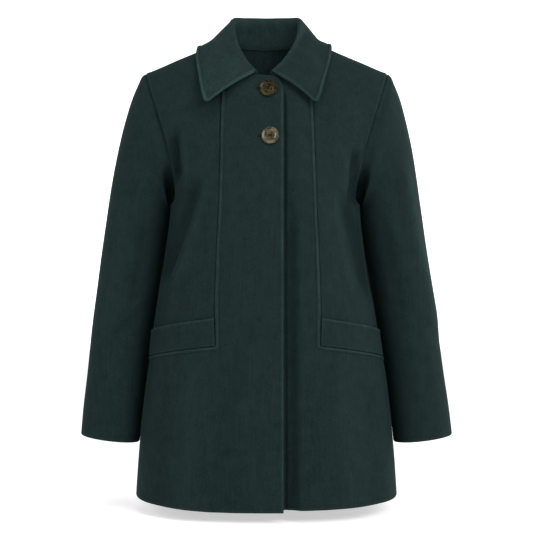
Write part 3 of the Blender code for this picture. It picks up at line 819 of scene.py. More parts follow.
@dataclass(frozen=True)
class BodyForm:
    """Surface of the coat's body, on the wearer's left; the right is its mirror image."""

    cloth: float = 2.2
    neck_half: float = 68.0
    neck_front_y: float = -90.0
    neck_front_z: float = -64.0
    neck_back_y: float = 62.0
    neck_back_z: float = -2.0
    neck_side_z: float = 4.0
    neck_dip: float = 1.25
    shoulder_x: float = 195.0
    shoulder_z: float = -50.5
    chest_z: float = -262.0
    hem_z: float = -736.0
    hem_lift: float = 8.5
    left_hem_lift: float = 3.0
    roundness: float = 2.35
    seam_nominal: float = 80.0
    side_nominal: float = 130.0
    straight_half: float = 30.0
    overlap: float = 26.0
    corner_flat: float = 4.0
    corner_drop: float = 38.0
    closure_shift: float = 2.5
    recess: float = 3.6
    recess_hem: float = 6.0
    recess_start_z: float = -300.0
    recess_from: float = 27.0
    recess_to: float = 54.0
    arch_centre: float = 1.2
    arch_seam: float = 1.6
    arch_shoulder: float = 1.85
    arch_back: float = 1.5
    back_shoulder_share: float = 0.6
    front_scoop: float = 26.0
    back_scoop: float = 12.0
    armhole_front_y: float = -70.0
    armhole_back_y: float = 68.0
    armhole_ease: float = 1.3
    scoop_start: float = 0.8
    armhole_high: float = 0.85
    armhole_low: float = 1.15
    welt_top_z: float = -441.0
    welt_foot_z: float = -483.0
    welt_slope: float = 28.0
    welt_reach: float = 70.0
    sections: Table = Table(
        "z half_width side_y front back",
        (
            (-262, 158, 0, 136, 104),
            (-288, 160.4, -2, 136, 103),
            (-335, 165.0, -6, 136, 98),
            (-423, 176, -10, 137, 99),
            (-510, 188, -10, 142, 112),
            (-583, 197.5, -8, 146, 124),
            (-648, 204, -5, 149, 133),
            (-736, 210.5, 0, 151, 142),
        ),
    )
    panel_seam: Table = Table(
        "z x",
        ((-262, 75.5), (-332, 79.5), (-441, 82.0), (-482, 81.0), (-600, 84.0), (-736, 88.0)),
    )

    def centre_x(self, u: Array, seam: Any) -> Array:
        """Across the centre front: true width near the middle, then stretched to the seam.

        Args:
            u: Places round the body.
            seam: Distance of the panel seam from the middle.

        Returns:
            Distance from the middle at each place.
        """
        nominal = np.minimum(np.abs(u), 1.0) * self.seam_nominal
        plain = np.minimum(nominal, self.straight_half)
        stretch = (seam - self.straight_half) / (self.seam_nominal - self.straight_half)
        return np.sign(u) * (plain + (nominal - plain) * stretch)

    def welt_drop(self, z: Array) -> Array:
        """How far the rows near the pocket fall towards the side seam."""
        middle = (self.welt_top_z + self.welt_foot_z) / 2
        return self.welt_slope * bell(z, middle, self.welt_reach)

    def hem_rise(self, z: Array) -> Array:
        """How far the rows near the hem rise towards the side seam."""
        return self.hem_lift * np.clip((self.chest_z - z) / (self.chest_z - self.hem_z), 0, 1) ** 3

    def lower_front(self, side: Side, u: Array, row_z: Array) -> Array:
        """Front below the underarm.

        Args:
            side: Wearer's side.
            u: Places round the body.
            row_z: Height of each row before it slopes.

        Returns:
            Points of the cloth, as on the left.
        """
        share = np.clip(u - 1, 0, 1)
        z = row_z - self.welt_drop(row_z) * share + self.hem_rise(row_z) * share
        if side == Side.LEFT:
            z = z + self.left_hem_lift * (self.hem_rise(row_z) / self.hem_lift) * (1 - share)
        half = self.sections.read("half_width", "z", z)
        middle = self.sections.read("side_y", "z", z)
        depth = self.sections.read("front", "z", z) + middle
        seam = self.panel_seam.read("x", "z", z) + side * self.closure_shift
        power = 2 / self.roundness
        turn = np.arcsin((np.abs(self.centre_x(u, seam)) / half) ** (1 / power))
        turn = turn + (math.pi / 2 - turn) * share
        x = np.sign(u) * half * np.sin(turn) ** power
        y = middle - depth * np.maximum(np.cos(turn), 0) ** power
        return points(x, y, z)

    def lower_back(self, u: Array, row_z: Array) -> Array:
        """Back below the underarm.

        Args:
            u: Places round the body.
            row_z: Height of each row before it slopes.

        Returns:
            Points of the cloth.
        """
        share = np.clip(3 - u, 0, 1)
        z = row_z + (self.hem_rise(row_z) - self.welt_drop(row_z)) * share ** 2
        power = 2 / self.roundness
        turn = share * math.pi / 2
        middle = self.sections.read("side_y", "z", z)
        x = self.sections.read("half_width", "z", z) * np.sin(turn) ** power
        depth = self.sections.read("back", "z", z) - middle
        return points(x, middle + depth * np.maximum(np.cos(turn), 0) ** power, z)

    def shoulder(self, share: Array) -> Array:
        """Shoulder seam from the neck (0) to the tip (1)."""
        x = self.neck_half + (self.shoulder_x - self.neck_half) * share
        return points(x, 0.0, self.neck_side_z + (self.shoulder_z - self.neck_side_z) * share)

    def top_front(self, u: Array) -> Array:
        """Front neckline from the centre, then the shoulder seam.

        Args:
            u: Places round the body.

        Returns:
            Points of the top edge.
        """
        x = self.centre_x(u, self.neck_half)
        hollow = np.sqrt(np.maximum(1 - (x / self.neck_half) ** 2, 0))
        z = self.neck_side_z + (self.neck_front_z - self.neck_side_z) * hollow ** self.neck_dip
        neck = points(x, self.neck_front_y * hollow, z)
        return np.where((u > 1)[..., None], self.shoulder(np.clip(u - 1, 0, 1)), neck)

    def top_back(self, u: Array) -> Array:
        """Shoulder seam from its tip, then the back neckline to the centre.

        Args:
            u: Places round the body.

        Returns:
            Points of the top edge.
        """
        share = np.clip(u - 2, 0, 1)
        kept = self.back_shoulder_share
        turn = np.clip((share - kept) / (1 - kept), 0, 1)
        x = self.neck_half * np.cos(turn * math.pi / 2)
        y = self.neck_back_y * np.sin(turn * math.pi / 2)
        z = self.neck_side_z + (self.neck_back_z - self.neck_side_z) * turn
        return np.where((share < kept)[..., None], self.shoulder(1 - share / kept), points(x, y, z))

    def armhole(self, v: Array, scoop: float, depth: float) -> Array:
        """Armhole edge from the shoulder tip to the underarm.

        Args:
            v: Places down the body.
            scoop: How far the edge is cut in.
            depth: How far it stands forward or back.

        Returns:
            Points of the edge.
        """
        turn = np.clip(v, 0, 1) * math.pi
        under_x = self.sections.column("half_width")[0]
        low = (1 - np.cos(turn)) / 2
        x = self.shoulder_x + (under_x - self.shoulder_x) * low
        x = x - scoop * np.sin(turn) * low ** self.scoop_start
        y = depth * np.sin(turn) * (self.armhole_high + (self.armhole_low - self.armhole_high) * low)
        return points(x, y, self.shoulder_z + (self.chest_z - self.shoulder_z) * low)

    def arch(self, top: Array, chest: Array, v: Array, power: Any) -> Array:
        """Carry the cloth from its top edge over to the chest.

        Args:
            top: Points of the top edge.
            chest: Points at the underarm's height.
            v: Places down the body.
            power: Fullness of the curve.

        Returns:
            Points of the cloth.
        """
        turn = np.clip(v, 0, 1) * math.pi / 2
        forward = np.sin(turn) ** (2 / power)
        down = 1 - np.maximum(np.cos(turn), 0) ** (2 / power)
        return top + (chest - top) * points(down, forward, down)

    def below_corner(self, u: Array, v: Array) -> Array:
        """Start the overlap's columns lower, so that its top corner is rounded.

        Args:
            u: Places round the body.
            v: Places down the body.

        Returns:
            The lowered places down the body.
        """
        past = (-u * self.seam_nominal - self.corner_flat) / (self.overlap - self.corner_flat)
        drop = 1 - np.sqrt(1 - np.clip(past, 0, 1) ** 2)
        drop = drop * self.corner_drop / (self.neck_front_z - self.chest_z)
        first = np.arccos((1 - drop) ** (self.arch_centre / 2)) * 2 / math.pi
        return np.where(v < 1, first + (1 - first) * v, v)

    def row_z(self, v: Array) -> Array:
        """Height of a row below the underarm, before it slopes."""
        return self.chest_z + (self.hem_z - self.chest_z) * np.clip(v - 1, 0, 1)

    def front(self, side: Side, u: Array, v: Array) -> Array:
        """Cloth of a front.

        Args:
            side: Wearer's side.
            u: Places round the body.
            v: Places down the body.

        Returns:
            Points of the cloth, as on the left.
        """
        u, v = np.broadcast_arrays(np.asarray(u, dtype=float), np.asarray(v, dtype=float))
        v = self.below_corner(u, v)
        share = np.clip(u - 1, 0, 1)
        across = np.minimum(np.abs(u), 1)
        power = self.arch_centre + (self.arch_seam - self.arch_centre) * across
        power = power + (self.arch_shoulder - self.arch_seam) * share
        level = np.full_like(v, self.chest_z)
        upper = self.arch(self.top_front(u), self.lower_front(side, u, level), v, power)
        edge = self.armhole(v, self.front_scoop, self.armhole_front_y)
        underarm = self.lower_front(side, np.full_like(v, 2.0), level)
        line = self.arch(self.shoulder(np.ones_like(v)), underarm, v, self.arch_shoulder)
        upper = upper + (edge - line) * (share ** self.armhole_ease)[..., None]
        return np.where((v > 1)[..., None], self.lower_front(side, u, self.row_z(v)), upper)

    def back(self, u: Array, v: Array) -> Array:
        """Cloth of the back.

        Args:
            u: Places round the body.
            v: Places down the body.

        Returns:
            Points of the cloth, on the left.
        """
        u, v = np.broadcast_arrays(np.asarray(u, dtype=float), np.asarray(v, dtype=float))
        share = np.clip(3 - u, 0, 1)
        power = self.arch_back + (self.arch_shoulder - self.arch_back) * share
        level = np.full_like(v, self.chest_z)
        edge = self.armhole(v, self.back_scoop, self.armhole_back_y)
        underarm = self.lower_back(np.full_like(v, 2.0), level)
        line = self.arch(self.shoulder(np.ones_like(v)), underarm, v, self.arch_shoulder)
        upper = self.arch(self.top_back(u), self.lower_back(u, level), v, power)
        upper = upper + (edge - line) * (share ** self.armhole_ease)[..., None]
        return np.where((v > 1)[..., None], self.lower_back(u, self.row_z(v)), upper)

    def left_recess(self, grid: Array) -> Array:
        """How far the left front lies behind the right one, near the closing.

        Args:
            grid: Points of the left front.

        Returns:
            Depth at each point.
        """
        deeper = (self.recess_start_z - grid[..., 2]) / (self.recess_start_z - self.hem_z)
        near = 1 - ease((grid[..., 0] - self.recess_from) / (self.recess_to - self.recess_from))
        return (self.recess + self.recess_hem * ease(deeper)) * near


FORM = BodyForm()


@dataclass
class HalfBody:
    """One side of the coat's body as fine lattices, with all its creases but no sewing.

    The lattices' columns run from the overlap round to the centre back, and their rows from the
    neckline to the hem.
    """

    side: Side
    step: float = 4.6
    upper_rows: int = 52
    back_columns: int = 64
    fly_line: float = 24.0
    # Distance from the side seam over which the front's creases fade in
    side_fade: float = 14.0
    across: Array = field(init=False)
    down: Array = field(init=False)
    front: Array = field(init=False)
    front_normals: Array = field(init=False)
    front_nap: Array = field(init=False)
    back: Array = field(init=False)
    back_normals: Array = field(init=False)

    def __post_init__(self) -> None:
        """Lay out the lattices."""
        seam = FORM.seam_nominal
        end = seam + FORM.side_nominal
        lines = [-FORM.overlap, seam, end]
        lines.append(self.fly_line if self.side == Side.RIGHT else FORM.overlap + 2)
        self.across = spread(-FORM.overlap, end, self.step, lines)
        lower = spread(FORM.hem_z, FORM.chest_z, self.step, (FORM.hem_z, FORM.welt_foot_z, FORM.welt_top_z))
        reach = FORM.chest_z - FORM.hem_z
        upper_v = np.linspace(0, 1, self.upper_rows + 1)
        self.down = np.concatenate([upper_v, 1 + (FORM.chest_z - lower[::-1][1:]) / reach])
        self.front, self.front_normals = self.lay_front(self.across, self.down)
        # Painted shade in the creases' troughs and painted highlights on their ridges
        self.front_nap = crease_painted_light(crease_depth(self.side, False, False, self.front))
        self.back, self.back_normals = self.lay_back(self.back_u)

    def lay_front(self, across: Array, down: Array) -> tuple[Array, Array]:
        """Lay a lattice on the front, creases and all.

        Args:
            across: Columns in nominal millimetres from the centre line.
            down: Rows, as places v.

        Returns:
            Points and outward normals.
        """
        seam = FORM.seam_nominal
        u = np.where(across <= seam, across / seam, 1 + (across - seam) / FORM.side_nominal)
        grid = FORM.front(self.side, u[None, :], down[:, None]) * np.array([self.side, 1, 1])
        from_side = seam + FORM.side_nominal - across
        press = crease_depth(self.side, False, False, grid) * ease(from_side / self.side_fade)
        press = press - slackness(grid)
        if self.side == Side.LEFT:
            press = press + FORM.left_recess(grid)
        grid = grid - self.outward(grid) * press[..., None]
        return grid, self.outward(grid)

    def lay_back(self, u: Array) -> tuple[Array, Array]:
        """Lay a lattice on this half of the back, creases and all.

        Args:
            u: Columns, as places u.

        Returns:
            Points and outward normals.
        """
        grid = FORM.back(u[None, :], self.down[:, None]) * np.array([self.side, 1, 1])
        press = crease_depth(self.side, False, True, grid) - slackness(grid)
        press = press * ease((u - 2) * 6) * ease((3 - u) * 8)
        grid = grid - self.outward(grid) * press[..., None]
        normals = self.outward(grid)
        normals[:, -1, 0] = 0
        return grid, unit(normals)

    def outward(self, grid: Array) -> Array:
        """Outward normals of one of the lattices."""
        return lattice_normals(grid) * self.side

    @property
    def back_u(self) -> Array:
        """Columns of the back, from just behind the side seam to the centre."""
        return 2 + np.linspace(0.001, 1, self.back_columns)

    @property
    def rows_z(self) -> Array:
        """Nominal height of each row: over the underarm, a row there counts as the underarm."""
        return FORM.row_z(self.down)

    def seam_distance(self) -> Array:
        """Distance of each point of the centre front from the seam that turns under the pocket.

        Returns:
            The distance, for each row and column.
        """
        beside = FORM.seam_nominal - self.across[None, :]
        below = FORM.welt_foot_z - self.rows_z[:, None]
        return np.hypot(np.maximum(beside, 0), np.maximum(below, 0))


@dataclass
class BodyPanels:
    """Cut panels of one side, and the back that joins both sides."""

    half: HalfBody
    material: bpy.types.Material
    # How deep and how wide the fly's stitches pull the cloth down, and the length that this fades over
    fly_sunk: float = 0.5
    fly_width: float = 1.4
    fly_fade: float = 20.0
    # Roll beside the overlap's edge: its height, its distance from the edge, and its width
    overlap_rise: float = 0.5
    overlap_place: float = 3.5
    overlap_width: float = 4.0
    # The same for the roll of the side front beside the armhole
    armhole_rise: float = 0.6
    armhole_place: float = 4.0
    armhole_width: float = 3.0
    # How far the side front's edges drop at the panel seam and at the pocket
    panel_drop: float = 0.7
    pocket_drop: float = 0.5
    # Painted highlight beside the armhole, and painted shade in the armhole's seam and in the panel seam
    armhole_highlight: float = 0.5
    armhole_seam_shade: float = 1.6
    panel_seam_shade: float = 0.4
    # Distance from the panel seam at which the painted highlight is full
    highlight_start: float = 1.5
    # How far the back is let out at the side seams, which closes them
    seam_tuck: float = 0.7
    # Painted light on the back's wrong side, which is all that shows of it in the neck
    back_inside_light: float = 1.0

    def sewn_front(self) -> Array:
        """Centre front with its topstitched seam, rounded edges and, on the right, the fly's stitches.

        Returns:
            Lattice of the right side of the cloth.
        """
        half = self.half
        rise = stitched_ridge(half.seam_distance())
        rise = rise + rounded_edge(half.across + FORM.overlap)[None, :]
        rise = rise + rounded_edge(half.rows_z - FORM.hem_z)[:, None]
        if half.side == Side.RIGHT:
            run = ease((FLY_START_Z - half.front[..., 2]) / self.fly_fade)
            rise = rise - self.fly_sunk * run * bell(half.across, half.fly_line, self.fly_width)[None, :]
            roll = bell(half.across + FORM.overlap, self.overlap_place, self.overlap_width)
            rise = rise + self.overlap_rise * roll[None, :]
        return half.front + half.front_normals * rise[..., None]

    def build_front(self, seams: "Sewing") -> None:
        """Make the centre front, with the lower front that runs on under the pocket.

        Args:
            seams: Sewing that takes the panel's stitch lines.
        """
        half = self.half
        outer = self.sewn_front()
        inner = half.front - half.front_normals * FORM.cloth
        centre = half.across[1:] <= FORM.seam_nominal
        below = half.rows_z[:-1] < FORM.welt_foot_z
        cells = centre[None, :] | below[:, None]
        seam = half.seam_distance()
        # Painted light: the creases' painted shade and highlights, painted highlights beside the pocket
        # seam and along the hem, and on the right along the overlap's edge
        nap = half.front_nap + ease(seam / self.highlight_start) * painted_edge_band(seam, STITCHED_BAND)
        nap = nap + HEM_HIGHLIGHT * painted_edge_band(half.rows_z - FORM.hem_z)[:, None]
        if half.side == Side.RIGHT:
            nap = nap + painted_edge_band(half.across + FORM.overlap)[None, :]
        add_shell("front_" + half.side.word, outer, inner, self.material, nap, cells)
        line = nearest(half.across, FORM.seam_nominal - STITCH_REACH)
        start = 1 + nearest(half.front[:, line, 2], STITCH_TOP_Z)
        foot = nearest(half.rows_z, FORM.welt_foot_z - STITCH_REACH)
        past_seam = np.flatnonzero(half.across > FORM.seam_nominal)[:-2]
        lines = [(np.arange(start, np.sum(half.rows_z >= FORM.welt_foot_z)), line), (foot, past_seam)]
        if half.side == Side.RIGHT:
            fly = nearest(half.across, half.fly_line)
            lines.append((np.flatnonzero(half.front[:, fly, 2] < FLY_START_Z), fly))
        for spots in lines:
            seams.run(outer[spots], half.front_normals[spots])

    def build_side_front(self) -> None:
        """Make the side front from the shoulder and armhole to the pocket seam."""
        half = self.half
        share = half.across - FORM.seam_nominal
        from_armhole = FORM.side_nominal - share
        rise = rounded_edge(np.abs(share), self.panel_drop) + rounded_edge(from_armhole)
        rise = rise + self.armhole_rise * bell(from_armhole, self.armhole_place, self.armhole_width)
        from_pocket = half.rows_z - FORM.welt_foot_z
        rise = rise[None, :] + rounded_edge(from_pocket, self.pocket_drop)[:, None]
        outer = half.front + half.front_normals * rise[..., None]
        inner = half.front - half.front_normals * FORM.cloth
        cells = (share[:-1] > 0)[None, :] & (half.rows_z[1:] > FORM.welt_foot_z)[:, None]
        # Painted highlight beside the armhole, and painted shade in both seams.
        seam_painted_light = self.armhole_highlight * painted_edge_band(from_armhole, self.armhole_place)
        seam_painted_light = seam_painted_light - self.armhole_seam_shade * painted_edge_band(from_armhole, SEAM_BAND)
        seam_painted_light = seam_painted_light - self.panel_seam_shade * painted_edge_band(np.abs(share), SEAM_BAND)
        nap = half.front_nap + seam_painted_light[None, :]
        add_shell("side_front_" + half.side.word, outer, inner, self.material, nap, cells)

    def build_back(self, other: HalfBody) -> None:
        """Make the back in one piece, from side seam to side seam.

        Args:
            other: The wearer's left side, where this one is the right.
        """
        half = self.half
        grid = np.concatenate([half.back, other.back[:, -2::-1]], axis=1)
        normals = np.concatenate([half.back_normals, other.back_normals[:, -2::-1]], axis=1)
        below = half.down > 1
        for edge, next_in in ((0, 1), (-1, -2)):
            grid[below, edge] += unit(grid[below, edge] - grid[below, next_in]) * self.seam_tuck
        from_hem = half.rows_z - FORM.hem_z
        outer = grid + normals * rounded_edge(from_hem)[:, None, None]
        inner = grid - normals * FORM.cloth
        # Painted highlight along the hem; the wrong side takes painted light in the neck
        nap = HEM_HIGHLIGHT * painted_edge_band(from_hem)[:, None]
        add_shell("back", outer, inner, self.material, nap, inside_light=self.back_inside_light)


@dataclass
class Sleeve:
    """Set-in sleeve: one tube from the armhole to the open cuff."""

    half: HalfBody
    material: bpy.types.Material
    gap: float = 0.5
    lift: float = 3.5
    lean: float = 0.7
    drop: float = 0.4
    underarm_share: float = 0.15
    bow: float = 3.0
    rings: int = 150
    # Rings close to the armhole and to the cuff, by their distance from it
    near_armhole: tuple[float, ...] = (0.6, 1.3, 2.2, 3.2)
    near_cuff: tuple[float, ...] = (0.5, 1.0, 1.7, 2.6)
    # Hollow at the underarm: where it starts, how far it takes to deepen, its depth and its place
    pit_z: float = -182.0
    pit_run: float = 75.0
    pit_depth: float = 18.0
    pit_place: float = 8.0
    # Half width of the hollow where it starts, and how much wider it is where it is deepest
    pit_width: float = 4.0
    pit_widening: float = 7.0
    # Fullness of the sleeve's head over the shoulder: its height, place and width
    head_rise: float = 0.9
    head_place: float = 9.0
    head_width: float = 7.0
    # Distances from the armhole over which creases and slackness fade in
    crease_start: float = 5.0
    slack_start: float = 40.0
    # Depth over which the front's creases give way to the back's
    side_blend: float = 25.0
    # How far the sleeve's edge drops into the armhole seam, and how much painted shade lies there
    seam_drop: float = 1.3
    seam_shade: float = 1.2
    sizes: Table = Table(
        "outer_x outer_y outer_z inner_x inner_y inner_z half_depth keep",
        (
            (206, 1, -66, 160.2, 9, -266, 74, 0.7),
            (217, 3, -91, 160.2, 18, -273, 74.5, 0.45),
            (227, 6, -124, 160.2, 25, -283, 73.5, 0.2),
            (236, 8, -162, 161.4, 28, -298, 72, 0.05),
            (245, 9, -209, 163.5, 32, -318, 70, 0),
            (253, 10, -261, 166.3, 33, -345, 68.5, 0),
            (261, 9, -317, 170.8, 32, -378, 67, 0),
            (268.5, 8, -371, 175.8, 29, -415, 65, 0),
            (276, 6, -429, 182.2, 25, -460, 62.5, 0),
            (283.5, 4, -489, 189.5, 20, -511, 60, 0),
            (290, 2, -543, 196, 14, -560, 57.5, 0),
            (295.5, 0, -589, 201.5, 8, -603, 55, 0),
            (300, -2, -632, 206, 3, -645, 53, 0),
        ),
    )

    def armhole(self) -> tuple[Array, Array, Array]:
        """Armhole edge as a closed ring.

        Returns:
            Its points, the body's normals there, and the way out of the cloth.
        """
        last = self.half.upper_rows
        front = (slice(0, last + 1), -1)
        back = (slice(last - 1, 0, -1), 0)
        ring = np.concatenate([self.half.front[front], self.half.back[back]])
        normals = np.concatenate([self.half.front_normals[front], self.half.back_normals[back]])
        along = unit(np.roll(ring, -1, axis=0) - np.roll(ring, 1, axis=0))
        return ring, normals, unit(np.cross(normals, along)) * self.half.side

    def stations(self, ring: Array) -> list[Array]:
        """Rings of the sleeve at the rows of its table.

        Args:
            ring: Armhole edge.

        Returns:
            A closed ring of points for each row.
        """
        side = self.half.side
        mirror = np.array([side, 1, 1])
        turn = np.arange(len(ring)) * 2 * math.pi / len(ring)
        cosine, sine = np.cos(turn)[:, None], np.sin(turn)[:, None]
        plain = ring * mirror
        tip, under = plain[0], plain[self.half.upper_rows]
        depth = np.array([0, (FORM.armhole_front_y - FORM.armhole_back_y) / 2, 0])
        own = plain - ((tip + under) / 2 + (tip - under) / 2 * cosine + depth * sine)
        own[:, 0] *= self.underarm_share + (1 - self.underarm_share) * (1 + np.cos(turn)) / 2
        rings = []
        reach = FORM.shoulder_z - self.sizes.column("outer_z")[-1]
        for size in self.sizes.records():
            bow = self.bow * math.sin(math.pi * (FORM.shoulder_z - size["outer_z"]) / reach)
            outer = np.array([size["outer_x"] + bow, size["outer_y"], size["outer_z"]])
            inner = np.array([size["inner_x"], size["inner_y"], size["inner_z"]])
            front = np.array([0, -size["half_depth"], 0])
            oval = (outer + inner) / 2 + (outer - inner) / 2 * cosine + front * sine
            rings.append((oval + own * size["keep"]) * mirror)
        return rings

    def build(self) -> None:
        """Make the sleeve with its creases and a rounded cuff edge."""
        side = self.half.side
        ring, body_normals, away = self.armhole()
        start = ring + away * self.gap
        turn = np.arange(len(ring)) * 2 * math.pi / len(ring)
        low = (1 - np.cos(turn)) / 2
        lean = points(side * self.lean * low, 0.0, self.drop * (low - 1))
        turned = start + unit(away + lean) * self.lift
        stack = np.array([start, turned] + self.stations(ring))
        length = lengths(stack).mean(axis=1)
        place = np.unique(np.concatenate([
            np.linspace(0, length[-1], self.rings),
            self.near_armhole,
            length[-1] - np.array(self.near_cuff),
        ]))
        from_cuff = length[-1] - place
        outer = smooth(place, length, stack)
        normals = self.outward(outer)
        middle = outer[..., 1].mean(axis=1, keepdims=True)
        seen = ease((middle - outer[..., 1]) / self.side_blend + 0.5)
        press = crease_depth(side, True, False, outer) * seen
        press = press + crease_depth(side, True, True, outer) * (1 - seen)
        press = press + self.pit(ring, turn, place)
        press = press * ease(place / self.crease_start)[:, None]
        # Painted light: a painted highlight at the cuff, painted shade in the armhole seam, and the painted
        # shade and highlights of the creases and the hollow
        edges = HEM_HIGHLIGHT * painted_edge_band(from_cuff) - self.seam_shade * painted_edge_band(place, SEAM_BAND)
        nap = crease_painted_light(press) + edges[:, None]
        press = press - slackness(outer) * ease(place / self.slack_start)[:, None]
        outer = outer - normals * press[..., None]
        normals = self.outward(outer)
        inner = outer - normals * FORM.cloth
        inner[0] = start - body_normals * FORM.cloth
        rise = rounded_edge(place, self.seam_drop) + rounded_edge(from_cuff)
        over_top = np.clip(np.cos(turn), 0, 1)
        head = self.head_rise * bell(place, self.head_place, self.head_width)[:, None] * over_top
        outer = outer + normals * (rise[:, None] + head)[..., None]
        add_shell("sleeve_" + side.word, outer, inner, self.material, nap, tube=True)

    def pit(self, ring: Array, turn: Array, place: Array) -> Array:
        """Hollow beside the armhole's lower front.

        Args:
            ring: Armhole edge.
            turn: Angle of each of its points.
            place: Distance of each ring from the armhole.

        Returns:
            Depth for each ring and point.
        """
        deep = ease((self.pit_z - ring[:, 2]) / self.pit_run) * ease((ring[:, 2] - FORM.chest_z) / 4)
        deep = deep * ease(3 * np.sin(turn))
        width = self.pit_width + self.pit_widening * deep
        return self.pit_depth * deep * bell(place[:, None], self.pit_place, width)

    def outward(self, rings: Array) -> Array:
        """Outward normals of a stack of closed rings."""
        around = (np.roll(rings, -1, axis=1) - np.roll(rings, 1, axis=1)) / 2
        return unit(np.cross(around, np.gradient(rings, axis=0))) * self.half.side


@dataclass
class PocketWelt:
    """Pocket welt: a strip on the side front, open and standing off at its top edge."""

    half: HalfBody
    material: bpy.types.Material
    cloth: float = 2.4
    lift_top: float = 2.2
    lift_foot: float = 0.3
    # Roll of the top edge: its height, its distance from the edge, and its width
    top_rise: float = 0.5
    top_place: float = 3.0
    top_width: float = 3.0
    # How far the top edge and the sewn edges drop
    top_drop: float = 0.9
    sewn_drop: float = 0.4
    # Painted highlight on the sewn edges: its strength and its width
    sewn_highlight: float = 0.6
    sewn_band: float = 1.5
    # How much of the way to the side seam the welt reaches
    share: float = 6 / 7
    step_across: float = 4.0
    step_down: float = 3.0

    def build(self) -> None:
        """Make the welt from the side front's own points, moved out."""
        start = FORM.seam_nominal
        end = start + FORM.side_nominal * self.share
        foot = FORM.welt_foot_z
        top = FORM.welt_top_z
        across = spread(start + SEAM_HALF, end - SEAM_HALF, self.step_across, (start, end))
        heights = spread(foot + SEAM_HALF, top - SEAM_HALF, self.step_down, (foot, top))[::-1]
        down = 1 + (FORM.chest_z - heights) / (FORM.chest_z - FORM.hem_z)
        grid, normals = self.half.lay_front(across, down)
        from_foot = heights - foot
        from_top = top - heights
        high = from_foot / (top - foot)
        lift = self.lift_foot + (self.lift_top - self.lift_foot) * high
        inner = grid + normals * lift[:, None, None]
        rise = rounded_edge(from_foot, self.sewn_drop) + rounded_edge(from_top, self.top_drop)
        rise = rise + self.top_rise * bell(from_top, self.top_place, self.top_width)
        rise = rise[:, None] + rounded_edge(across - start, self.sewn_drop) + rounded_edge(end - across)
        outer = inner + normals * (self.cloth + rise)[..., None]
        # Painted highlights along the open top edge and the sewn edges
        nap = painted_edge_band(from_top) + self.sewn_highlight * painted_edge_band(from_foot, self.sewn_band)
        nap = nap[:, None] + self.sewn_highlight * painted_edge_band(across - start, self.sewn_band)
        add_shell("pocket_welt_" + self.half.side.word, outer, inner, self.material, nap)


class CoatTree:
    """Search tree over the outside of the coat's body."""

    # A place inside the body: its Y, and how far it is below the point that is looked at
    inside_y: float = -10.0
    inside_drop: float = 60.0
    # A place well before the coat
    before_y: float = -400.0

    def __init__(self, grids: Sequence[Array]) -> None:
        """Build the tree.

        Args:
            grids: Lattices of the body.
        """
        corners: list[Any] = []
        faces: list[Any] = []
        for grid in grids:
            rows, columns = grid.shape[:2]
            number = np.arange(rows * columns).reshape(rows, columns) + len(corners)
            upper, lower = number[:-1], number[1:]
            quads = np.stack([upper[:, :-1], upper[:, 1:], lower[:, 1:], lower[:, :-1]], axis=-1)
            corners.extend(grid.reshape(-1, 3).tolist())
            faces.extend(quads.reshape(-1, 4).tolist())
        self.tree = BVHTree.FromPolygons(corners, faces)

    def push_clear(self, place: Array, clearance: float) -> Array:
        """Move a point out until it stands clear of the body.

        Args:
            place: Point to move.
            clearance: Distance that it needs.

        Returns:
            The point where it is clear.
        """
        spot_now = Vector(place)
        for _ in range(3):
            spot, normal, _, _ = self.tree.find_nearest(spot_now)
            if normal.dot(spot - Vector((0, self.inside_y, spot.z - self.inside_drop))) < 0:
                normal = -normal
            short = clearance - (spot_now - spot).dot(normal)
            if short <= 0:
                break
            spot_now = spot_now + normal * short
        return np.array(spot_now)

    def front_point(self, x: float, z: float) -> tuple[Array, Array]:
        """Point of the cloth straight behind a place in the front view, and its normal.

        Args:
            x: Place across.
            z: Height.

        Returns:
            The point, and the cloth's normal there.
        """
        spot, normal, _, _ = self.tree.ray_cast(Vector((x, self.before_y, z)), Vector((0, 1, 0)))
        if normal.y > 0:
            normal = -normal
        return np.array(spot), np.array(normal)


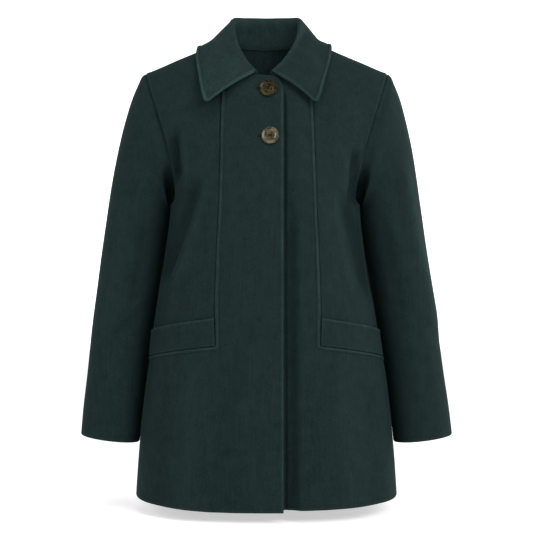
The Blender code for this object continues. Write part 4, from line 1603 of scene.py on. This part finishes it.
@dataclass
class Collar:
    """Turn-down collar: the stand rises from the neckline and the fall lies over the shoulders."""

    right: HalfBody
    left: HalfBody
    tree: CoatTree
    material: bpy.types.Material
    cloth: float = 3.0
    gap: float = 0.5
    end_right: float = 13.0
    end_left: float = 10.0
    tip_round: float = 9.0
    # Seam round the back of the stand: its distance below the fold, and how deep it is sunk
    stand_line: float = 15.0
    stand_sunk: float = 0.4
    step_along: float = 3.4
    step_down: float = 2.6
    # Rows of the fall, as shares of the way from the fold to the outer edge
    fall_rows: tuple[float, ...] = (0.25, 0.5, 0.75, 0.93, 1.0)
    # Rise of the fall between its edge and its stitches, its slackness, and how far its underside drops
    edge_rise: float = 1.2
    slack: float = 0.35
    slack_start: float = 12.0
    under_drop: float = 0.7
    # Length over which the stand's finish turns into the fall's
    turn_over: float = 6.0
    # Painted light on the stand and on the fall, and how much less the fall's is at the wearer's left end
    stand_painted_light: float = 0.9
    fall_painted_light: float = 0.5
    fall_light_slope: float = 0.4
    # Rows of the path where the fold and the top of the fall are
    fold_row: int = 3
    fall_row: int = 4
    # From the centre back (0) round to each front end (1), along the neckline
    sizes: Table = Table(
        "along fold_x fold_y fold_z fold_shift edge_x edge_y edge_z edge_shift roll bulge clear",
        (
            (0.00, 0, 57, 48.5, 0, 0, 87, -38, 0, 4.0, 5, 2.5),
            (0.22, 36, 51, 48, 0, 62, 74, -32, 2.0, 4.0, 5, 2.5),
            (0.34, 54.5, 35, 45, 0, 93, 46, -22, 3.5, 4.0, 4, 3.6),
            (0.46, 56, 8, 29.5, 0, 102.5, 2, -18, 3.8, 4.0, 4, 4.4),
            (0.60, 52, -22, 7.5, 0.5, 105.5, -38, -36, 5.4, 3.6, 4, 4.0),
            (0.75, 42, -50, -16.5, 1.5, 99, -76, -65, 6.8, 3.2, 4, 2.5),
            (0.88, 27.5, -72, -40.5, 2.7, 93.3, -97, -90, 7.8, 2.8, 4, 2.5),
            (1.00, 12.5, -92, -58, 3.5, 87, -109, -110.5, 8.2, 2.4, 3, 2.5),
        ),
    )

    def neckline(self) -> tuple[Array, Array]:
        """Neckline from the right collar end round the back to the left one.

        Returns:
            The edge of the stand on the outside and on the inside.
        """
        edges, normals = [], []
        for half, end in ((self.right, self.end_right), (self.left, self.end_left)):
            front = (half.across >= end) & (half.across < FORM.seam_nominal)
            neck = half.back_u > 2.01 + FORM.back_shoulder_share
            edges.append(np.concatenate([half.front[0, front], half.back[0, neck]]))
            normals.append(np.concatenate([half.front_normals[0, front], half.back_normals[0, neck]]))
        edge = np.concatenate([edges[0], edges[1][-2::-1]])
        normal = np.concatenate([normals[0], normals[1][-2::-1]])
        length = lengths(edge)
        place = spread(0, length[-1], self.step_along, (0, length[-1]))
        edge = smooth(place, length, edge)
        normal = unit(read_line(place, length, normal))
        away = unit(np.cross(np.gradient(edge, axis=0), normal))
        outside = edge + away * self.gap
        return outside, outside - normal * FORM.cloth

    def path(self, middle: Array) -> tuple[Array, Array]:
        """Middle of the collar's cloth, from the neckline up the stand and down the fall.

        Args:
            middle: Neckline.

        Returns:
            Lattice of the path, and each station's place from -1, right, to 1, left.
        """
        length = lengths(middle)
        back = int(np.argmax(middle[:, 1]))
        along = length - length[back]
        along = np.where(along < 0, along / length[back], along / (length[-1] - length[back]))
        read = {name: self.sizes.read(name, "along", np.abs(along)) for name in self.sizes.columns.split()}
        sign = np.sign(along)
        fold = points(sign * read["fold_x"] - read["fold_shift"], read["fold_y"], read["fold_z"])
        edge = points(sign * read["edge_x"] - read["edge_shift"], read["edge_y"], read["edge_z"])
        run = unit(np.gradient(fold, axis=0))
        up = unit(UP - run * (run @ UP)[:, None])
        out = unit(np.cross(up, run))
        out = out * np.sign(np.sum(out * (edge - fold), axis=1))[:, None]
        roll = read["roll"][:, None]
        stand_top = fold - up * roll - out * roll
        fall_top = fold - up * roll + out * roll
        lift = unit(np.cross(run, edge - fall_top))
        lift = lift * np.sign(np.sum(lift * (up + out), axis=1))[:, None]
        edge = edge + unit(fall_top - edge) * self.tip_pull(edge)[:, None]
        rows = [middle, (middle + stand_top) / 2, stand_top, fold, fall_top]
        for share in self.fall_rows:
            rise = read["bulge"] * 4 * share * (1 - share)
            fall = fall_top + (edge - fall_top) * share + lift * rise[:, None]
            room = self.cloth / 2 + read["clear"]
            rows.append(np.array([self.tree.push_clear(spot, need) for spot, need in zip(fall, room)]))
        return np.array(rows), along

    def tip_pull(self, edge: Array) -> Array:
        """How far the outer edge draws back near its ends, so that the tips are rounded.

        Args:
            edge: Points of the outer edge.

        Returns:
            Distance for each point.
        """
        length = lengths(edge)
        short = np.clip(1 - np.minimum(length, length[-1] - length) / self.tip_round, 0, 1)
        return self.tip_round * (1 - np.sqrt(1 - short ** 2))

    def build(self, seams: "Sewing") -> None:
        """Make the collar with its topstitched edges.

        Args:
            seams: Sewing that takes the collar's stitch lines.
        """
        outside, inside = self.neckline()
        coarse, along = self.path((outside + inside) / 2)
        length = lengths(coarse).mean(axis=1)
        place = spread(0, length[-1], self.step_down, (length[-1],))
        path = smooth(place, length, coarse)
        normals = lattice_normals(path)
        if np.sum(normals[0] * (outside - inside)) > 0:
            normals = -normals
        upper = path + normals * self.cloth / 2
        under = path - normals * self.cloth / 2
        from_neck = lengths(path)
        from_edge = from_neck[-1] - from_neck
        from_right = lengths(path.swapaxes(0, 1)).T
        from_end = np.minimum(from_right, from_right[:, -1:] - from_right)
        fold = nearest(place, length[self.fold_row])
        on_fall = ease((place - length[self.fall_row]) / self.turn_over + 0.5)[:, None]
        near = np.minimum(from_edge, from_end)
        rise = stitched_ridge(near, self.edge_rise) * on_fall
        stand_seam = bell(from_neck[fold] - from_neck, self.stand_line, 1.1) * (np.abs(along) < 0.5)
        rise = rise - self.stand_sunk * stand_seam
        rise = rise + slackness(path, self.slack) * on_fall * ease(near / self.slack_start)
        upper = upper + normals * rise[..., None]
        under = under - normals * (rounded_edge(near, self.under_drop) * on_fall)[..., None]
        upper[0] = inside
        under[0] = outside
        # Painted light on the stand, and on the fall more so towards the wearer's right, with painted
        # highlights along the fall's edges.
        fall_painted_light = painted_edge_band(near, STITCHED_BAND) + self.fall_painted_light - self.fall_light_slope * along
        nap = fall_painted_light * on_fall + self.stand_painted_light * (1 - on_fall)
        add_shell("collar", upper, under, self.material, nap)
        self.stitch(seams, upper, normals, from_edge, from_end, fold)

    def stitch(
        self,
        seams: "Sewing",
        upper: Array,
        normals: Array,
        from_edge: Array,
        from_end: Array,
        fold: int,
    ) -> None:
        """Sew round the fall, at an even distance from its edges.

        Args:
            seams: Sewing that takes the stitch lines.
            upper: Lattice of the collar's right side.
            normals: Normals of the right side.
            from_edge: Distance of each point from the outer edge.
            from_end: Distance of each point from the nearer front end.
            fold: Row of the fold.
        """
        columns = np.flatnonzero(from_end[-8] > STITCH_REACH)
        line, facing = [], []
        for column in columns:
            spot = np.searchsorted(-from_edge[:, column], -STITCH_REACH)
            line.append(upper[spot, column])
            facing.append(normals[spot, column])
        seams.run(np.array(line), np.array(facing))
        for order in (slice(None), slice(None, None, -1)):
            line, facing = [], []
            for row in range(fold + 4, upper.shape[0]):
                if from_edge[row].max() < STITCH_REACH:
                    break
                column = np.searchsorted(from_end[row, order][:upper.shape[1] // 2], STITCH_REACH)
                line.append(upper[row, order][column])
                facing.append(normals[row, order][column])
            seams.run(np.array(line), np.array(facing))


def read_line(where: Array, gone: Array, values: Array) -> Array:
    """Read points or normals along a line, by the length gone along it."""
    return np.stack([np.interp(where, gone, values[:, axis]) for axis in range(3)], axis=-1)


def tube_faces(first: int, rings: int, sides: int) -> list[tuple[int, ...]]:
    """Faces of an open tube of rings.

    Args:
        first: Number of its first corner.
        rings: How many rings it has.
        sides: How many corners a ring has.

    Returns:
        Corner numbers of each face.
    """
    faces: list[tuple[int, ...]] = []
    for low in range(first, first + (rings - 1) * sides, sides):
        for side in range(sides):
            after = (side + 1) % sides
            faces.append((low + side, low + after, low + sides + after, low + sides + side))
    return faces


@dataclass
class Sewing:
    """Topstitches of the whole coat, gathered and made as one piece."""

    material: bpy.types.Material
    pitch: float = 3.8
    length: float = 2.9
    half_width: float = 0.36
    sunk: float = 0.12
    sides: int = 6
    # Rings of a stitch: share of its length, share of its width, and how far it dips into the cloth
    profile: tuple[tuple[float, float, float], ...] = (
        (0.0, 0.3, 0.35), (0.18, 0.9, 0.0), (0.82, 0.9, 0.0), (1.0, 0.3, 0.35))
    starts: list[Array] = field(default_factory=list)
    ends: list[Array] = field(default_factory=list)
    facings: list[Array] = field(default_factory=list)

    def run(self, line: Array, facing: Array) -> None:
        """Sew along a line.

        Args:
            line: Points on the cloth.
            facing: Normals of the cloth there.
        """
        line = drawn_in(line)
        gone = lengths(line)
        first = np.arange(0.5, gone[-1] - self.length, self.pitch)
        self.starts.append(read_line(first, gone, line))
        self.ends.append(read_line(first + self.length, gone, line))
        self.facings.append(unit(read_line(first + self.length / 2, gone, facing)))

    def build(self) -> None:
        """Make the stitches: short round threads with their ends in the cloth."""
        start = np.concatenate(self.starts)
        end = np.concatenate(self.ends)
        facing = np.concatenate(self.facings)
        along = unit(end - start)
        across = unit(np.cross(along, facing))
        turn = np.arange(self.sides) * 2 * math.pi / self.sides
        cosine, sine = np.cos(turn)[:, None], np.sin(turn)[:, None]
        rings = []
        for share, size, dip in self.profile:
            middle = start + (end - start) * share - facing * (self.sunk + dip)
            around = across[:, None] * cosine + facing[:, None] * sine
            rings.append(middle[:, None] + self.half_width * size * around)
        places = np.stack(rings, axis=1).reshape(-1, 3)
        faces: list[tuple[int, ...]] = []
        for first in range(0, len(places), len(rings) * self.sides):
            faces += tube_faces(first, len(rings), self.sides)
        add_mesh("topstitching", places, faces, self.material)


@dataclass
class Button:
    """Large turned four-hole button, sewn on through a worked buttonhole."""

    number: int
    resin: bpy.types.Material
    twist: bpy.types.Material
    # Height of the well's floor over the button's back, and of the threads over that
    well: float = 2.8
    thread_rise: float = 0.15
    # Distance of the holes from the middle, across and up
    hole_reach: float = 1.414
    # The threads of a pair stand this far from the holes' middle line.
    pair_half: float = 0.5
    bar_radius: float = 0.7
    bar_arch: float = 0.8
    bar_sunk: float = 0.6
    bar_past: float = 0.3
    # Buttonhole: its ends to the left of the button's middle, half of its width, and its thread
    slot_start: float = 17.5
    slot_end: float = 4.0
    slot_half: float = 1.2
    slot_thread: float = 0.6
    slot_rise: float = 0.35

    def axes(self) -> tuple[Array, Array, Array, Array]:
        """Where the button's solid sits.

        Returns:
            Middle of its back, and its axes across, up and out.
        """
        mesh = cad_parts["button_%d" % self.number].data
        places = np.array([corner.co for corner in mesh.vertices]) / MM
        middle = (places.min(axis=0) + places.max(axis=0)) / 2
        out = np.linalg.svd(places - places.mean(axis=0), full_matrices=False)[2][2]
        out = out * (-1 if out[1] > 0 else 1)
        across = unit(np.cross(UP, out))
        across = across * (1 if across[0] > 0 else -1)
        back = middle + out * np.min((places - middle) @ out)
        return back, across, np.cross(out, across), out

    def dress(self, tree: CoatTree) -> None:
        """Give the solid its finish, and sew it on.

        Args:
            tree: The coat's body, for the buttonhole.
        """
        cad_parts["button_%d" % self.number].material_slots[0].material = self.resin
        back, across, up, out = self.axes()
        bend = np.linspace(-1, 1, 9)
        arch = np.outer(self.bar_arch * (1 - bend ** 4) - self.bar_sunk, out)
        bar = np.outer(bend * (self.hole_reach + self.bar_past), up) + arch
        start = back + out * (self.well + self.thread_rise)
        bars = [
            start + across * (side * self.hole_reach + beside) + bar
            for side in (-1, 1) for beside in (-self.pair_half, self.pair_half)
        ]
        add_threads("button_%d_thread" % self.number, bars, self.bar_radius, across, self.twist)
        self.work_buttonhole(tree, back)

    def work_buttonhole(self, tree: CoatTree, back: Array) -> None:
        """Work the buttonhole: a thick thread round a slot that runs out from under the button.

        Args:
            tree: The coat's body.
            back: Middle of the button's back.
        """
        line = []
        for turn in np.linspace(0, 2 * math.pi, 48, endpoint=False):
            middle = -self.slot_end if math.cos(turn) > 0 else -self.slot_start
            x = back[0] + middle + self.slot_half * math.cos(turn)
            spot, normal = tree.front_point(x, back[2] + self.slot_half * math.sin(turn))
            line.append(spot + normal * self.slot_rise)
        ring = np.array(line + line[:1])
        forward = np.array([0.0, -1.0, 0.0])
        add_threads("buttonhole_%d" % self.number, [ring], self.slot_thread, forward, self.twist)


def add_threads(
    name: str, lines: Sequence[Array], radius: float, across: Array, material: bpy.types.Material,
) -> None:
    """Make a piece of round threads.

    Args:
        name: Name of the piece.
        lines: Points that each thread follows.
        radius: Half of a thread's thickness.
        across: Direction that is never along a thread.
        material: Finish of the piece.
    """
    sides = 8
    turn = np.arange(sides) * 2 * math.pi / sides
    cosine, sine = np.cos(turn)[:, None], np.sin(turn)[:, None]
    places = np.empty((0, 3))
    faces: list[tuple[int, ...]] = []
    for line in lines:
        along = unit(np.gradient(line, axis=0))
        one = unit(np.cross(along, across))
        two = np.cross(along, one)
        rings = line[:, None] + radius * (one[:, None] * cosine + two[:, None] * sine)
        faces += tube_faces(len(places), len(line), sides)
        places = np.concatenate([places, rings.reshape(-1, 3)])
    add_mesh(name, places, faces, material)


def main() -> None:
    """Dress the coat, and set up the studio."""
    logging.basicConfig(level=logging.INFO, format="%(name)s: %(message)s")
    wool = WoolCoating().make()
    # The twist's own dark colour is darkened further as painted shade in the buttonholes and in the
    # buttons' wells
    twist = SewingThread("buttonhole_twist_waxed", "#0d1514").make()
    # Button 1 is the same resin in darker colours: painted shade for the collar's shadow over it
    shaded_resin = HornResin(
        "horn_resin_with_painted_collar_shade", "#0c0a03", "#251f0c", "#42371a", specular=0.1)
    seams = Sewing(SewingThread().make())
    right = HalfBody(Side.RIGHT)
    left = HalfBody(Side.LEFT)
    tree = CoatTree([right.front, right.back, left.front, left.back])
    for half in (right, left):
        panels = BodyPanels(half, wool)
        panels.build_front(seams)
        panels.build_side_front()
        PocketWelt(half, wool).build()
    BodyPanels(right, wool).build_back(left)
    Sleeve(right, wool).build()
    Sleeve(left, wool, bow=-3.5).build()
    Collar(right, left, tree, wool).build(seams)
    for number, resin in enumerate((shaded_resin, HornResin()), 1):
        Button(number, resin.make(), twist).dress(tree)
    seams.build()
    Studio().build()


if __name__ == "__main__":
    main()
